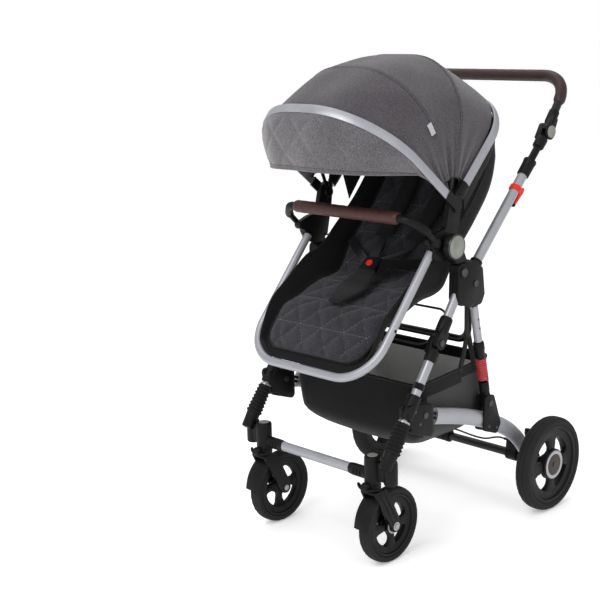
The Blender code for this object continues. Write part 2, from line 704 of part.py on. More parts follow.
def build_casters(root):
    """Sprung carriage with its crossbar, and the two swivel wheels below it."""
    carriage = Body("caster_carriage", at(0, leg(BELLOWS_TO)), root)
    centre = Vector((CASTER_X, CASTER_Y, 0))
    foot = at(SIDE_X, leg(0))
    node = carriage.piece("caster_carriage", black, lambda bm: sweep(
        bm, [(-CASTER_X, CASTER_Y, CROSSBAR_Z), (CASTER_X, CASTER_Y, CROSSBAR_Z)], 0.0095, 0.0125, (0, 0,
            1), 14))
    carriage.shape(node, lambda bm: turned(
        bm, centre, (0, 0, 1),
        [(HOUSING_LOW, HOUSING_R), (HOUSING_TOP - 0.003, HOUSING_R), (HOUSING_TOP, HOUSING_R - 0.003)], 14),
        "UNION", 0)
    carriage.shape(node, lambda bm: turned(
        bm, Vector((SIDE_X, BLOCK_Y, 0)), (0, 0, 1),
        [(BLOCK_LOW, BLOCK_R - 0.002), (BLOCK_LOW + 0.002, BLOCK_R), (BLOCK_TOP, BLOCK_R)], 14), "UNION", 0)
    carriage.shape(node, lambda bm: box(
        bm, (CASTER_X + 0.006, BLOCK_Y - 0.013, BLOCK_LOW + 0.006),
        (SIDE_X - 0.004, BLOCK_Y + 0.0075, BLOCK_TOP - 0.007)), "UNION", 0)
    carriage.shape(node, lambda bm: turned(
        bm, foot, at(0, LEG_DIR), [(BELLOWS_TO, BLOCK_R), (BELLOWS_TO + 0.040, BLOCK_R - 0.001)], 14),
            "UNION", 0)
    carriage.shape(node, lambda bm: sweep(
        bm, [(CROSSBAR_HALF, CASTER_Y, CROSSBAR_Z), (CASTER_X - 0.004, CASTER_Y, CROSSBAR_Z)], 0.0115, 0.014,
        (0, 0, 1), 12), "UNION", 0)
    carriage.shape(node, lambda bm: turned(
        bm, foot, at(0, LEG_DIR),
        [(BELLOWS_TO - 0.01, LEG_ROD_R + SLIDE_GAP), (BELLOWS_TO + 0.0385, LEG_ROD_R + SLIDE_GAP)], 10),
        "DIFFERENCE", 0)
    carriage.shape(node, lambda bm: turned(
        bm, centre, (0, 0, 1), [(HOUSING_LOW - 0.01, STEM_R + GAP), (HOUSING_TOP - 0.02, STEM_R + GAP)], 10),
        "DIFFERENCE", 0)

    for side, label in ((1, "right"), (-1, "left")):
        swivel = Vector((side * CASTER_X, CASTER_Y, 0))
        hub = Vector((side * FRONT_WHEEL_X, FRONT_WHEEL_Y, FRONT_WHEEL_R))
        lock = Body("swivel_lock_" + label, swivel + Vector((0, -HOUSING_R - 0.0015,
            HOUSING_LOW + 0.0185)), carriage)

        def tab(bm, x=swivel.x):
            outline = [(CASTER_Y - HOUSING_R - 0.0005, 0.214), (CASTER_Y - HOUSING_R - 0.0095, 0.211),
                       (CASTER_Y - HOUSING_R - 0.0145, 0.1975), (CASTER_Y - HOUSING_R - 0.0005, 0.1960)]
            plate(bm, rounded_outline(outline, 0.002, 2), x - 0.009, x + 0.009, 0.001)
        lock.piece("swivel_lock_" + label, grey_plastic, tab)

        fork = Body("front_fork_" + label, swivel + Vector((0, 0, HOUSING_LOW)), carriage)
        half = FRONT_WHEEL_W / 2 + FORK_CLEAR
        crown_low = FRONT_WHEEL_R + 0.0925
        crown_top = HOUSING_LOW - GAP
        node = fork.piece("front_fork_" + label, black, lambda bm, c=swivel: turned(
            bm, c, (0, 0, 1), [(crown_low + 0.001, HOUSING_R - 0.002), (crown_top, HOUSING_R - 0.001),
                               (crown_top, STEM_R), (HOUSING_TOP - 0.022, STEM_R)], 16))

        def arms(bm, x=hub.x):
            outline = [(-0.588, crown_top - 0.001), (-0.547, crown_top - 0.001), (-0.500, 0.104),
                (-0.498, 0.086),
                       (-0.508, 0.076), (-0.522, 0.078), (-0.534, 0.098), (-0.566, 0.150)]
            outline = rounded_outline(outline, 0.006, 1)
            plate(bm, outline, x + half, x + half + FORK_ARM)
            plate(bm, outline, x - half - FORK_ARM, x - half)
        fork.shape(node, arms, "UNION")

        def bridge(bm, x=hub.x):
            box(bm, (x - half - 0.003, -0.585, crown_low), (x + half + 0.003, -0.550, crown_top - 0.0015))
        fork.shape(node, bridge, "UNION")

        def guard(bm, x=hub.x):
            rings = []
            for i in range(6):
                angle = math.radians(128 + 42 * i / 5)
                direction = (math.cos(angle), math.sin(angle))
                near = along((FRONT_WHEEL_Y, FRONT_WHEEL_R), direction, FRONT_WHEEL_R + 0.0025)
                far = along((FRONT_WHEEL_Y, FRONT_WHEEL_R), direction, FRONT_WHEEL_R + 0.0060)
                wide = half + FORK_ARM - 0.0005 - 0.001 * i
                rings.append([at(x - wide, near), at(x + wide, near), at(x + wide, far), at(x - wide, far)])
            loft(bm, rings)
        fork.shape(node, guard, "UNION")
        fork.shape(node, lambda bm, c=hub: turned(
            bm, c, (1, 0, 0), [(-half - FORK_ARM - 0.003, AXLE_BOLT_R),
                (half + FORK_ARM + 0.003, AXLE_BOLT_R)], 10),
            "UNION")

        wheel = Body("front_wheel_" + label, hub, fork)
        build_wheel(wheel, "front", label, hub, FRONT_WHEEL_R, FRONT_RIM_R, FRONT_WHEEL_W, FRONT_HUB_R,
                    AXLE_BOLT_R + GAP, FRONT_WHEEL_W / 2 + FORK_CLEAR - GAP, FRONT_SPOKES)
    return carriage


def build_wheel(body, end, label, hub, radius, rim_radius, width, hub_radius, bore, hub_half, spokes):
    """A spoked rim and its tyre."""
    rim = body.piece(end + "_rim_" + label, black, lambda bm: turned_ring(
        bm, hub, (1, 0, 0), rim_profile(rim_radius, width, hub_radius, bore, hub_half), WHEEL_SIDES))
    body.shape(rim, lambda bm: rim_window(bm, hub, hub_radius, rim_radius - 0.014, spokes, math.pi / 4),
        "DIFFERENCE")
    body.piece(end + "_tyre_" + label, rubber, lambda bm: turned_ring(
        bm, hub, (1, 0, 0), wheel_profile(radius / math.cos(math.pi / WHEEL_SIDES), rim_radius, width),
        WHEEL_SIDES))


def build_rails(shock):
    """Side rails with the rear axle, its brake and the rear wheels, hinged at the shock absorbers' feet."""
    body = Body("side_rails", at(0, FOOT_PIVOT), shock)
    line = rounded_path([at(SIDE_X, p) for p in RAIL_LINE], 0.06, 1)
    rails = body.pair("side_rail", silver, lambda bm: sweep(bm, line, RAIL_DEEP, RAIL_THICK, (1, 0, 0), 10))
    run = unit((RAIL_LINE[1][0] - RAIL_LINE[0][0], RAIL_LINE[1][1] - RAIL_LINE[0][1]))
    side = (-run[1], run[0])

    def tongue(bm):
        end = along(RAIL_LINE[0], run, 0.012)
        outline = [along(end, side, 0.012)]
        outline += [along(RAIL_PIVOT, toward(a), RAIL_EYE_R) for a in (75, 105, 135, 165, 195, 225, 255)]
        outline += [along(end, side, -0.014)]
        plate(bm, outline, SIDE_X - TONGUE_HALF, SIDE_X + TONGUE_HALF)
    body.shape(rails, tongue, "UNION")
    body.shape(rails, lambda bm: pin(bm, RAIL_PIVOT, -0.02, 0.02, PIN_R + OPEN_PIVOT_CLEAR), "DIFFERENCE")
    hook = PIN_R + OPEN_PIVOT_CLEAR
    body.shape(rails, lambda bm: box(
        bm, (SIDE_X - 0.02, RAIL_PIVOT[0] - hook, RAIL_PIVOT[1] - 0.03),
        (SIDE_X + 0.02, RAIL_PIVOT[0] + hook, RAIL_PIVOT[1])), "DIFFERENCE")
    inner_face = RAIL_THICK - FOOT_LAP

    def feet(bm):
        outline = [(-0.222, 0.345), (-0.186, 0.343), (-0.156, 0.262), (-0.172, 0.238), (-0.226, 0.258)]
        outline = rounded_outline(outline, 0.009, 1)
        plate(bm, outline, SIDE_X + inner_face, SIDE_X + inner_face + 0.006)
        plate(bm, outline, SIDE_X - inner_face - 0.006, SIDE_X - inner_face)
    body.shape(rails, feet, "UNION")
    body.shape(rails, lambda bm: pin(
        bm, FOOT_PIVOT, -inner_face - 0.0055, inner_face + 0.0055, PIN_R, PIN_HEAD_R), "UNION")

    last = RAIL_LINE[-1]
    neck = unit((RAIL_LINE[-1][0] - RAIL_LINE[-2][0], RAIL_LINE[-1][1] - RAIL_LINE[-2][1]))
    end = REAR_WHEEL_X - REAR_WHEEL_W / 2 - 0.0045
    tip = REAR_WHEEL_X + REAR_WHEEL_W / 2 + 0.0008
    axle = body.piece("rear_axle", dark_steel, lambda bm: turned(
        bm, (0, 0, REAR_WHEEL_R), (1, 0, 0),
        [(-tip, AXLE_STUB_R), (-end, AXLE_STUB_R), (-end, AXLE_R), (end, AXLE_R), (end, AXLE_STUB_R),
         (tip, AXLE_STUB_R)], 16))
    body.shape(axle, lambda bm: turned(
        bm, at(SIDE_X, (0, REAR_WHEEL_R)), (1, 0, 0), [(-0.0145, 0.0195), (0.0145, 0.0195)], 14), "UNION", 0)
    body.shape(axle, lambda bm: sweep(
        bm, [at(SIDE_X, along(last, neck, GAP)), at(SIDE_X, along(last, neck, 0.042))], 0.0205, 0.0125,
        (1, 0, 0), 12), "UNION", 0)

    def rings(bm):
        for x0, x1, radius in BRAKE_RINGS:
            turned(bm, (0, 0, REAR_WHEEL_R), (1, 0, 0), [(x0, radius), (x1, radius)], 14)
    body.shape(axle, rings, "UNION")

    def tops(bm):
        for (x0, x1, radius), top in zip(BRAKE_RINGS, BRAKE_TOPS):
            outline = [(-0.013, REAR_WHEEL_R + 0.008), (0.013, REAR_WHEEL_R + 0.008), (0.010, top),
                (-0.010, top)]
            plate(bm, outline, x0 + 0.001, x1 - 0.001)
    body.shape(axle, tops, "UNION")

    cable = bpy.data.curves.new("brake_cable", "CURVE")
    cable.dimensions = "3D"
    cable.bevel_depth = 0.0024
    cable.bevel_resolution = 1
    cable.use_fill_caps = True
    route = [Vector(p) for p in CABLE_ROUTE]
    points = smooth_points(route, 3)
    spline = cable.splines.new("POLY")
    spline.points.add(len(points) - 1)
    for point, place in zip(spline.points, points):
        point.co = (*place, 1.0)
    cable.materials.append(black)
    body.link(bpy.data.objects.new("brake_cable", cable))

    pedal = Body("brake_pedal", (0, 0, REAR_WHEEL_R), body)
    node = pedal.piece("brake_pedal", black, lambda bm: turned_ring(
        bm, (0, 0, REAR_WHEEL_R), (1, 0, 0),
        [(-0.180, AXLE_R + GAP), (-0.0494, AXLE_R + GAP), (-0.0494, 0.0165), (-0.180, 0.0165)], 16))

    def pad(bm):
        outline = [(-0.008, 0.1335), (0.004, 0.1345), (0.046, 0.150), (0.046, 0.157), (0.010, 0.156),
            (-0.008, 0.146)]
        plate(bm, rounded_outline(outline, 0.003, 2), -0.178, -0.052, 0.001)
    pedal.shape(node, pad, "UNION")

    for side, label in ((1, "right"), (-1, "left")):
        hub = Vector((side * REAR_WHEEL_X, 0, REAR_WHEEL_R))
        wheel = Body("rear_wheel_" + label, hub, body)
        build_wheel(wheel, "rear", label, hub, REAR_WHEEL_R, REAR_RIM_R, REAR_WHEEL_W, REAR_HUB_R,
                    AXLE_STUB_R + GAP, REAR_WHEEL_W / 2, REAR_SPOKES)


def smooth_points(route, between):
    """Points on a smooth curve through a route."""
    ends = [route[0] * 2 - route[1]] + route + [route[-1] * 2 - route[-2]]
    points = []
    for p0, p1, p2, p3 in zip(ends, ends[1:], ends[2:], ends[3:]):
        for i in range(between):
            t = i / between
            points.append(0.5 * (2 * p1 + (p2 - p0) * t + (2 * p0 - 5 * p1 + 4 * p2 - p3) * t ** 2
                                 + (3 * p1 - p0 - 3 * p2 + p3) * t ** 3))
    return points + [route[-1]]


def build_upper(root):
    """Upper frame: joints with the upper knees, handle uprights and the crossbar under the seat."""
    body = Body("upper_frame", at(0, KNEE), root)
    first, last = COLLAR_AT
    step = HANDLE_TOP_AT + GAP
    uprights = body.pair("handle_upright", silver, lambda bm: sleeve(
        bm, [at(SIDE_X, handle(0.027)), at(SIDE_X, handle(HANDLE_TOP_AT))], INNER_R + SLIDE_GAP, HANDLE_R,
        (1, 0, 0), 16))
    body.shape(uprights, lambda bm: turned_ring(
        bm, at(SIDE_X, handle(0)), at(0, HANDLE_DIR),
        [(first, HANDLE_R - 0.0008), (step, HANDLE_R - 0.0008), (step, INNER_R + SLIDE_GAP),
         (last, INNER_R + SLIDE_GAP), (last, 0.0162), (last - 0.005, 0.0165), (last - 0.007, 0.0160),
         (first, 0.0150)], 16), "UNION")

    def joints(bm):
        outline = [(-0.328, 0.6895), (-0.262, 0.6895), (-0.236, 0.668), (-0.228, 0.603), (-0.240, 0.580),
                   (-0.290, 0.580), (-0.331, 0.600)]
        plate(bm, rounded_outline(outline, 0.012, 1), SIDE_X - JOINT_THICK, SIDE_X + JOINT_THICK, 0.002)
    joint = body.pair("upper_joint", black, joints)
    body.shape(joint, lambda bm: turned(
        bm, at(SIDE_X, leg(0)), at(0, LEG_DIR),
        [(UPPER_LEG[0], LEG_R), (UPPER_LEG[1], LEG_R), (UPPER_LEG[1], 0.0140), (UPPER_LEG[1] + 0.005, 0.0155),
         (KNEE_AT - KNEE_R - 0.002, 0.0155)], 16), "UNION")
    side = (-LEG_DIR[1], LEG_DIR[0])

    def upper_lap(bm):
        top = leg(KNEE_AT - KNEE_R - 0.012)
        outline = [along(top, side, 0.013), along(top, side, -0.013)]
        outline += [along(along(KNEE, side, s * KNEE_R * 0.84), LEG_DIR, d) for s, d in
                    ((-1, 0), (-0.7, 0.0125), (0, 0.0175), (0.7, 0.0125), (1, 0))]
        plate(bm, outline, SIDE_X + GAP, SIDE_X + 0.0140)
    body.shape(joint, upper_lap, "UNION")
    body.shape(joint, lambda bm: pin(bm, KNEE, -0.03, 0.03, PIN_R + GAP), "DIFFERENCE")
    body.shape(joint, lambda bm: turned(
        bm, at(SIDE_X, handle(0)), at(0, HANDLE_DIR), [(0.0265, HANDLE_R + GAP), (0.08, HANDLE_R + GAP)], 16),
        "DIFFERENCE")

    def slot(bm):
        outline = [(-0.2825, 0.570), (-0.2150, 0.570), (-0.2150, 0.610), (-0.2480, 0.650), (-0.2825, 0.650)]
        plate(bm, outline, SIDE_X - TONGUE_HALF - SLIDE_GAP, SIDE_X + TONGUE_HALF + SLIDE_GAP)
    body.shape(joint, slot, "DIFFERENCE")
    body.shape(joint, lambda bm: turned(
        bm, at(SIDE_X, RELEASE_AT), (1, 0, 0), [(0.0070, RELEASE_R + GAP), (0.03, RELEASE_R + GAP)], 16),
        "DIFFERENCE")
    body.shape(joint, lambda bm: turned(
        bm, (SPIGOT_X, SPIGOT_Y, 0), (0, 0, 1), [(0.668, SPIGOT_R + GAP), (0.72, SPIGOT_R + GAP)], 10),
        "DIFFERENCE")
    body.shape(joint, lambda bm: pin(bm, UPPER_PIVOT, -0.012, 0.012, PIN_R), "UNION")

    def crossbar(bm):
        low = UBAR_Z
        path = [(UBAR_X, UBAR_Y, UBAR_TOP), (UBAR_X, UBAR_Y, low), (-UBAR_X, UBAR_Y, low),
            (-UBAR_X, UBAR_Y, UBAR_TOP)]
        sweep(bm, rounded_path(path, 0.03, 4), UBAR_R, UBAR_R, (0, 1, 0), 8)
    bar = body.piece("seat_crossbar", dark_steel, crossbar)

    def hoop(bm):
        path = [(-0.100, UBAR_Y, UBAR_Z), (-0.100, UBAR_Y, 0.550), (0.140, UBAR_Y, 0.550),
            (0.140, UBAR_Y, UBAR_Z)]
        sweep(bm, rounded_path(path, 0.022, 3), 0.003, 0.003, (0, 1, 0), 6)
    body.shape(bar, hoop, "UNION")

    for side, label in ((1, "right"), (-1, "left")):
        button = Body("release_button_" + label, at(side * (SIDE_X + JOINT_THICK), RELEASE_AT), body)
        button.piece("release_button_" + label, steel, lambda bm, s=side: turned(
            bm, at(s * SIDE_X, RELEASE_AT), (s, 0, 0),
            [(0.0105, RELEASE_R), (0.0180, RELEASE_R), (0.0195, RELEASE_R - 0.0015)], 16))
        lever = Body("fold_lever_" + label, at(side * SIDE_X, handle(0.245)), body)
        node = lever.piece("fold_lever_" + label, red, lambda bm, s=side: turned_ring(
            bm, at(s * SIDE_X, handle(0)), at(0, HANDLE_DIR),
            [(0.236, HANDLE_R + GAP), (0.262, HANDLE_R + GAP), (0.262, 0.0155), (0.236, 0.0155)], 16))
        back = (HANDLE_DIR[1], -HANDLE_DIR[0])

        def tab(bm, x=side * SIDE_X):
            outline = [along(handle(0.214), back, 0.0185), along(handle(0.218), back, 0.0135),
                       along(handle(0.270), back, 0.0130), along(handle(0.278), back, 0.021),
                       along(handle(0.262), back, 0.024)]
            plate(bm, rounded_outline(outline, 0.003, 2), x - 0.009, x + 0.009, 0.001)
        lever.shape(node, tab, "UNION")
    return body


def build_rear_legs(upper):
    """Rear legs with their spring shock absorbers."""
    body = Body("rear_legs", at(0, UPPER_PIVOT), upper)
    top = SHOCK_TOP_AT[0]
    legs = body.pair("rear_leg", silver, lambda bm: turned(
        bm, at(SIDE_X, rear(0)), at(0, REAR_DIR),
        [(0.062, REAR_LEG_R), (top, REAR_LEG_R), (top, 0.0115), (top + 0.003, 0.0135), (top + 0.020, 0.0135),
         (top + 0.022, SHOCK_R), (SHOCK_TOP_AT[1], SHOCK_R)], 14))

    def tongue(bm):
        low = rear(0.068)
        side = (-REAR_DIR[1], REAR_DIR[0])
        outline = [along(low, side, -0.009), along(low, side, 0.009)]
        outline += [along(UPPER_PIVOT, toward(a), 0.012) for a in (-20, 15, 50, 85, 120, 155, 190)]
        plate(bm, outline, SIDE_X - TONGUE_HALF, SIDE_X + TONGUE_HALF)
    body.shape(legs, tongue, "UNION")
    body.shape(legs, lambda bm: pin(bm, UPPER_PIVOT, -0.02, 0.02, PIN_R + GAP), "DIFFERENCE")
    body.shape(legs, lambda bm: turned(
        bm, at(SIDE_X, rear(0)), at(0, REAR_DIR),
        [(SHOCK_TOP_AT[1] - 0.028, PIN_R + SLIDE_GAP), (SHOCK_TOP_AT[1] + 0.01, PIN_R + SLIDE_GAP)], 10),
        "DIFFERENCE")

    shock = Body("shock_lower", at(0, rear(SPRING_TO)), body)
    lower = shock.pair("shock_lower", black, lambda bm: turned(
        bm, at(SIDE_X, rear(0)), at(0, REAR_DIR),
        [(SHOCK_TOP_AT[1] - 0.012, PIN_R), (SPRING_TO, PIN_R), (SPRING_TO, SHOCK_R),
         (SHOCK_BODY_TO, SHOCK_R), (SHOCK_BODY_TO + 0.002, 0.010)], 14))

    def eye(bm):
        side = (-REAR_DIR[1], REAR_DIR[0])
        high = rear(SHOCK_BODY_TO - 0.006)
        half = RAIL_THICK - FOOT_LAP - SLIDE_GAP
        outline = [along(high, side, 0.0085), along(high, side, -0.0085)]
        outline += [along(FOOT_PIVOT, toward(a), 0.0115) for a in (185, 215, 245, 275, 305, 335, 5)]
        plate(bm, outline, SIDE_X - half, SIDE_X + half)
    shock.shape(lower, eye, "UNION")
    shock.shape(lower, lambda bm: pin(bm, FOOT_PIVOT, -0.03, 0.03, PIN_R + GAP), "DIFFERENCE")

    start = SHOCK_TOP_AT[1] + SPRING_WIRE_R + 0.0004
    end = SPRING_TO - SPRING_WIRE_R - 0.0004
    count = SPRING_TURNS * SPRING_POINTS
    u = Vector((1, 0, 0))
    v = Vector((0, *REAR_DIR)).cross(u)
    for side, label in ((1, "right"), (-1, "left")):
        spring = bpy.data.curves.new("shock_spring_" + label, "CURVE")
        spring.dimensions = "3D"
        spring.bevel_depth = SPRING_WIRE_R
        spring.bevel_resolution = 0
        spring.use_fill_caps = True
        spline = spring.splines.new("POLY")
        spline.points.add(count)
        places = []
        for i in range(count + 1):
            turn = 2 * math.pi * i / SPRING_POINTS
            distance = start + (end - start) * i / count
            places.append(at(side * SIDE_X,
                rear(distance)) + (u * math.cos(turn) + v * math.sin(turn)) * SPRING_R)
        for point, place in zip(spline.points, places):
            point.co = (*place, 1.0)
        spring.materials.append(spring_red)
        body.link(bpy.data.objects.new("shock_spring_" + label, spring))
        apart = min((a - b).length for i, a in enumerate(places) for b in places[i + SPRING_POINTS // 2:])
        print("least gap of", spring.name, "to itself, mm:", round((apart - 2 * SPRING_WIRE_R) * 1000, 2))
    return shock


def build_handle(upper):
    """Telescopic inner tubes, knuckles and the wrapped handle bar."""
    slides = Body("handle_slides", at(0, handle(COLLAR_AT[1])), upper)
    knuckle_low = HANDLE_LENGTH - KNUCKLE_R - 0.002
    inner = slides.pair("handle_slide", black, lambda bm: turned(
        bm, at(SIDE_X, handle(0)), at(0, HANDLE_DIR),
        [(0.190, INNER_R), (knuckle_low - 0.030, INNER_R), (knuckle_low - 0.028, 0.0140),
         (knuckle_low, 0.0150)], 14))
    side = (-HANDLE_DIR[1], HANDLE_DIR[0])

    def lower_half(bm):
        low = handle(knuckle_low - 0.008)
        outline = [along(low, side, -0.012), along(low, side, 0.012)]
        start = math.degrees(math.atan2(side[1], side[0]))
        outline += [along(KNUCKLE, toward(start - 20 - a), KNUCKLE_R) for a in (0, 28, 56, 84, 112, 140)]
        plate(bm, outline, SIDE_X - 0.0145, SIDE_X - GAP)
    slides.shape(inner, lower_half, "UNION")

    bar = Body("handle_bar", at(0, KNUCKLE), slides)
    arm = unit((BAR_Y - KNUCKLE[0], BAR_Z - KNUCKLE[1]))
    start = along(KNUCKLE, arm, KNUCKLE_R + 0.004)
    corner = (BAR_Y, BAR_Z)
    path = [at(SIDE_X, start), at(SIDE_X, corner), at(-SIDE_X, corner), at(-SIDE_X, start)]
    path = rounded_path(path, BAR_BEND, 5)
    node = bar.piece("handle_bar", dark_steel, lambda bm: sweep(bm, path, BAR_R, BAR_R, (0, -arm[1],
        arm[0]), 10))

    def upper_half(bm):
        across = (-arm[1], arm[0])
        high = along(KNUCKLE, arm, KNUCKLE_R + 0.022)
        outline = [along(high, across, -0.0115), along(high, across, 0.0115)]
        start_angle = math.degrees(math.atan2(across[1], across[0]))
        outline += [along(KNUCKLE, toward(start_angle - 10 + a),
            KNUCKLE_R) for a in (0, 40, 80, 120, 160, 200)]
        plate(bm, outline, SIDE_X, SIDE_X + 0.0145)
    bar.shape(node, upper_half, "UNION", 0)
    bar.shape(node, lambda bm: turned(
        bm, at(SIDE_X, KNUCKLE), (1, 0, 0), [(0.0075, 0.0150 + GAP), (0.03, 0.0150 + GAP)], 16),
            "DIFFERENCE", 0)

    wrap = along(KNUCKLE, arm, 0.083)
    grip = [at(SIDE_X, wrap), at(SIDE_X, corner), at(-SIDE_X, corner), at(-SIDE_X, wrap)]
    grip = rounded_path(grip, BAR_BEND, 5)
    bar.piece("handle_grip", dark_leather, lambda bm: sleeve(
        bm, grip, BAR_R + GAP, GRIP_R, (0, -arm[1], arm[0]), 10))

    for s, label in ((1, "right"), (-1, "left")):
        button = Body("knuckle_button_" + label, at(s * (SIDE_X + 0.0145), KNUCKLE), bar)
        button.piece("knuckle_button_" + label, grey_plastic, lambda bm, s=s: turned(
            bm, at(s * SIDE_X, KNUCKLE), (s, 0, 0), [(0.0110, 0.0150), (0.0175, 0.0150),
                (0.0190, 0.0135)], 18))


def build_seat(upper):
    """Seat unit on its two hubs: frame, shell, pad, harness, bumper bar and canopy."""
    hubs = Body("seat_hubs", at(0, HUB), upper)
    plate_in = HUB_PLATE[1] + GAP
    node = hubs.pair("seat_hub", black, lambda bm: turned(
        bm, at(0, HUB), (1, 0, 0),
        [(HUB_PLATE[0] + 0.002, 0.006), (plate_in, 0.006), (plate_in, 0.015), (0.222, 0.015), (0.222, HUB_R),
         (0.2400, HUB_R), (0.2440, HUB_R - 0.004)], 20))

    def foot(bm):
        top = 0.6898
        outline = [(-0.340, 0.724), (-0.305, 0.715), (-0.290, top), (-0.330, top), (-0.345, 0.708)]
        plate(bm, outline, 0.2160, 0.2395)
    hubs.shape(node, foot, "UNION")
    hubs.shape(node, lambda bm: turned(
        bm, (SPIGOT_X, SPIGOT_Y, 0), (0, 0, 1), [(0.672, SPIGOT_R), (0.70, SPIGOT_R)], 10), "UNION")

    body = Body("seat_frame", at(0, HUB), hubs)

    lower = u_path(LOWER_FROM, LOWER_ANGLE, LOWER_HALF, LOWER_LENGTH, LOWER_CORNER, -0.004, 6)
    frame = body.piece("lower_frame", silver, lambda bm: sweep(
        bm, lower, LOWER_R, LOWER_R, square_to(LOWER_ANGLE), 10))

    def hub_plates(bm):
        outline = [(-0.279, 0.840), (-0.300, 0.848), (-0.322, 0.838), (-0.338, 0.772), (-0.372, 0.766),
                   (-0.402, 0.755), (-0.402, 0.738), (-0.378, 0.729), (-0.386, 0.706), (-0.352, 0.696),
                   (-0.325, 0.696), (-0.302, 0.712), (-0.285, 0.790)]
        plate(bm, rounded_outline(outline, 0.008, 1), *HUB_PLATE)
    body.shape(frame, hub_plates, "UNION", 0)

    def wires(bm):
        x = SEAT_HALF + 0.0025
        line = [(-0.274, 0.706), (-0.185, 0.632), (-0.262, 0.600), (-0.310, 0.528), (-0.389, 0.499)]
        path = [at(HUB_PLATE[0] + 0.004, (-0.318, 0.712))] + [at(x, p) for p in line]
        path += [at(-p.x, (p.y, p.z)) for p in reversed(path)]
        sweep(bm, rounded_path(path, 0.018, 1), 0.002, 0.002, (0.3, 0.7, 0.6), 6)
    body.shape(frame, wires, "UNION")
    body.shape(frame, lambda bm: turned(
        bm, at(0, HUB), (1, 0, 0), [(HUB_PLATE[0] - 0.01, 0.0063), (HUB_PLATE[1] + 0.01, 0.0063)], 20),
        "DIFFERENCE", 0)
    back = u_path(CANOPY_AXIS, BACK_ANGLE, BACK_HALF, BACK_LENGTH, BACK_CORNER, 0.0268, 6)
    body.piece("back_bow", silver, lambda bm: sweep(bm, back, 0.005, 0.0135, square_to(BACK_ANGLE), 10))

    def shell(bm):
        outer = SEAT_BACK_LINE + [on_lower_frame(d, below) for d, below, _ in SEAT_FRONT]
        tops = SEAT_WALL_LINE + [on_lower_frame(d, below) for d, _, below in SEAT_FRONT]
        halves = [SEAT_HALF] * len(SEAT_BACK_LINE) + [inside_frame(d) for d, _, _ in SEAT_FRONT]
        rings = []
        for low, floor, top, half in zip(outer, offset_line(outer, SEAT_SKIN), tops, halves):
            inside = half - SEAT_SKIN
            rings.append([at(-half, top), at(-half, low), at(half, low), at(half, top),
                          at(inside, top), at(inside, floor), at(-inside, floor), at(-inside, top)])
        loft(bm, rings)
    body.piece("seat_shell", shell_fabric, shell)

    def pad(bm):
        outer = SEAT_BACK_LINE + [on_lower_frame(d, below) for d, below, _ in PAD_FRONT]
        halves = [PAD_HALF] * len(SEAT_BACK_LINE) + [half for _, _, half in PAD_FRONT]
        low = offset_line(outer, SEAT_SKIN + 0.0006)
        top = offset_line(outer, SEAT_SKIN + PAD_THICK)
        rings = []
        for a, b, wide in zip(low, top, halves):
            middle = ((a[0] + b[0]) / 2, (a[1] + b[1]) / 2)
            edge = (a[0] * 0.3 + b[0] * 0.7, a[1] * 0.3 + b[1] * 0.7)
            rings.append([at(-wide + 0.002, a), at(wide - 0.002, a), at(wide, middle), at(wide - 0.008, edge),
                          at(wide - 0.05, b), at(0, b), at(0.05 - wide, b), at(0.008 - wide, edge),
                              at(-wide, middle)])
        loft(bm, rings)
    body.piece("seat_pad", pad_fabric, pad)

    face = offset_line(SEAT_BACK_LINE, SEAT_SKIN + PAD_THICK + 0.0020)

    harness = body.piece("harness", black, lambda bm: plate(
        bm, rounded_outline(BUCKLE_OUTLINE, 0.004, 2), -0.024, 0.024, 0.002))

    def straps(bm):
        for s in (1, -1):
            path = [at(s * 0.055, face[2]), at(s * 0.055, face[3]), at(s * 0.050, face[4]),
                at(s * 0.010, BUCKLE_TOP)]
            flat_bar(bm, path, 0.002, 0.018, (1, 0, 0))
    body.shape(harness, straps, "UNION")
    body.shape(harness, lambda bm: flat_bar(
        bm, [at(0, BUCKLE_AT), at(0, CROTCH_END)], 0.002, 0.028, (1, 0, 0)), "UNION")
    press = Vector((0, -0.6, 0.8))
    body.shape(harness, lambda bm: turned(
        bm, at(0, BUCKLE_AT), press, [(0.002, 0.0093), (0.02, 0.0093)], 14), "DIFFERENCE")
    button = Body("buckle_button", at(0, BUCKLE_AT), body)
    button.piece("buckle_button", red, lambda bm: turned(
        bm, at(0, BUCKLE_AT), press, [(0.0050, 0.009), (0.0092, 0.009), (0.0100, 0.008)], 14))

    bumper = Body("bumper", at(0, BUMPER_PIVOT), body)
    path = [at(BUMPER_X, BUMPER_PIVOT), at(BUMPER_X, (-0.420, 0.778)), at(0.187, (-0.449, 0.804)),
        at(0.15, BUMPER_BAR)]
    path += [at(-p.x, (p.y, p.z)) for p in reversed(path)]
    path = rounded_path(path, 0.03, 2)
    node = bumper.piece("bumper_bar", leather, lambda bm: sweep(
        bm, path, BUMPER_R, BUMPER_R, (0.02, 0.7, -0.7), 10))
    grip = BUMPER_HALF - 0.014
    bumper.shape(node, lambda bm: turned(
        bm, at(0, BUMPER_BAR), (1, 0, 0),
        [(-grip, BUMPER_GRIP_R - 0.002), (0.004 - grip, BUMPER_GRIP_R), (grip - 0.004, BUMPER_GRIP_R),
         (grip, BUMPER_GRIP_R - 0.002)], 14), "UNION")
    build_canopy(body)


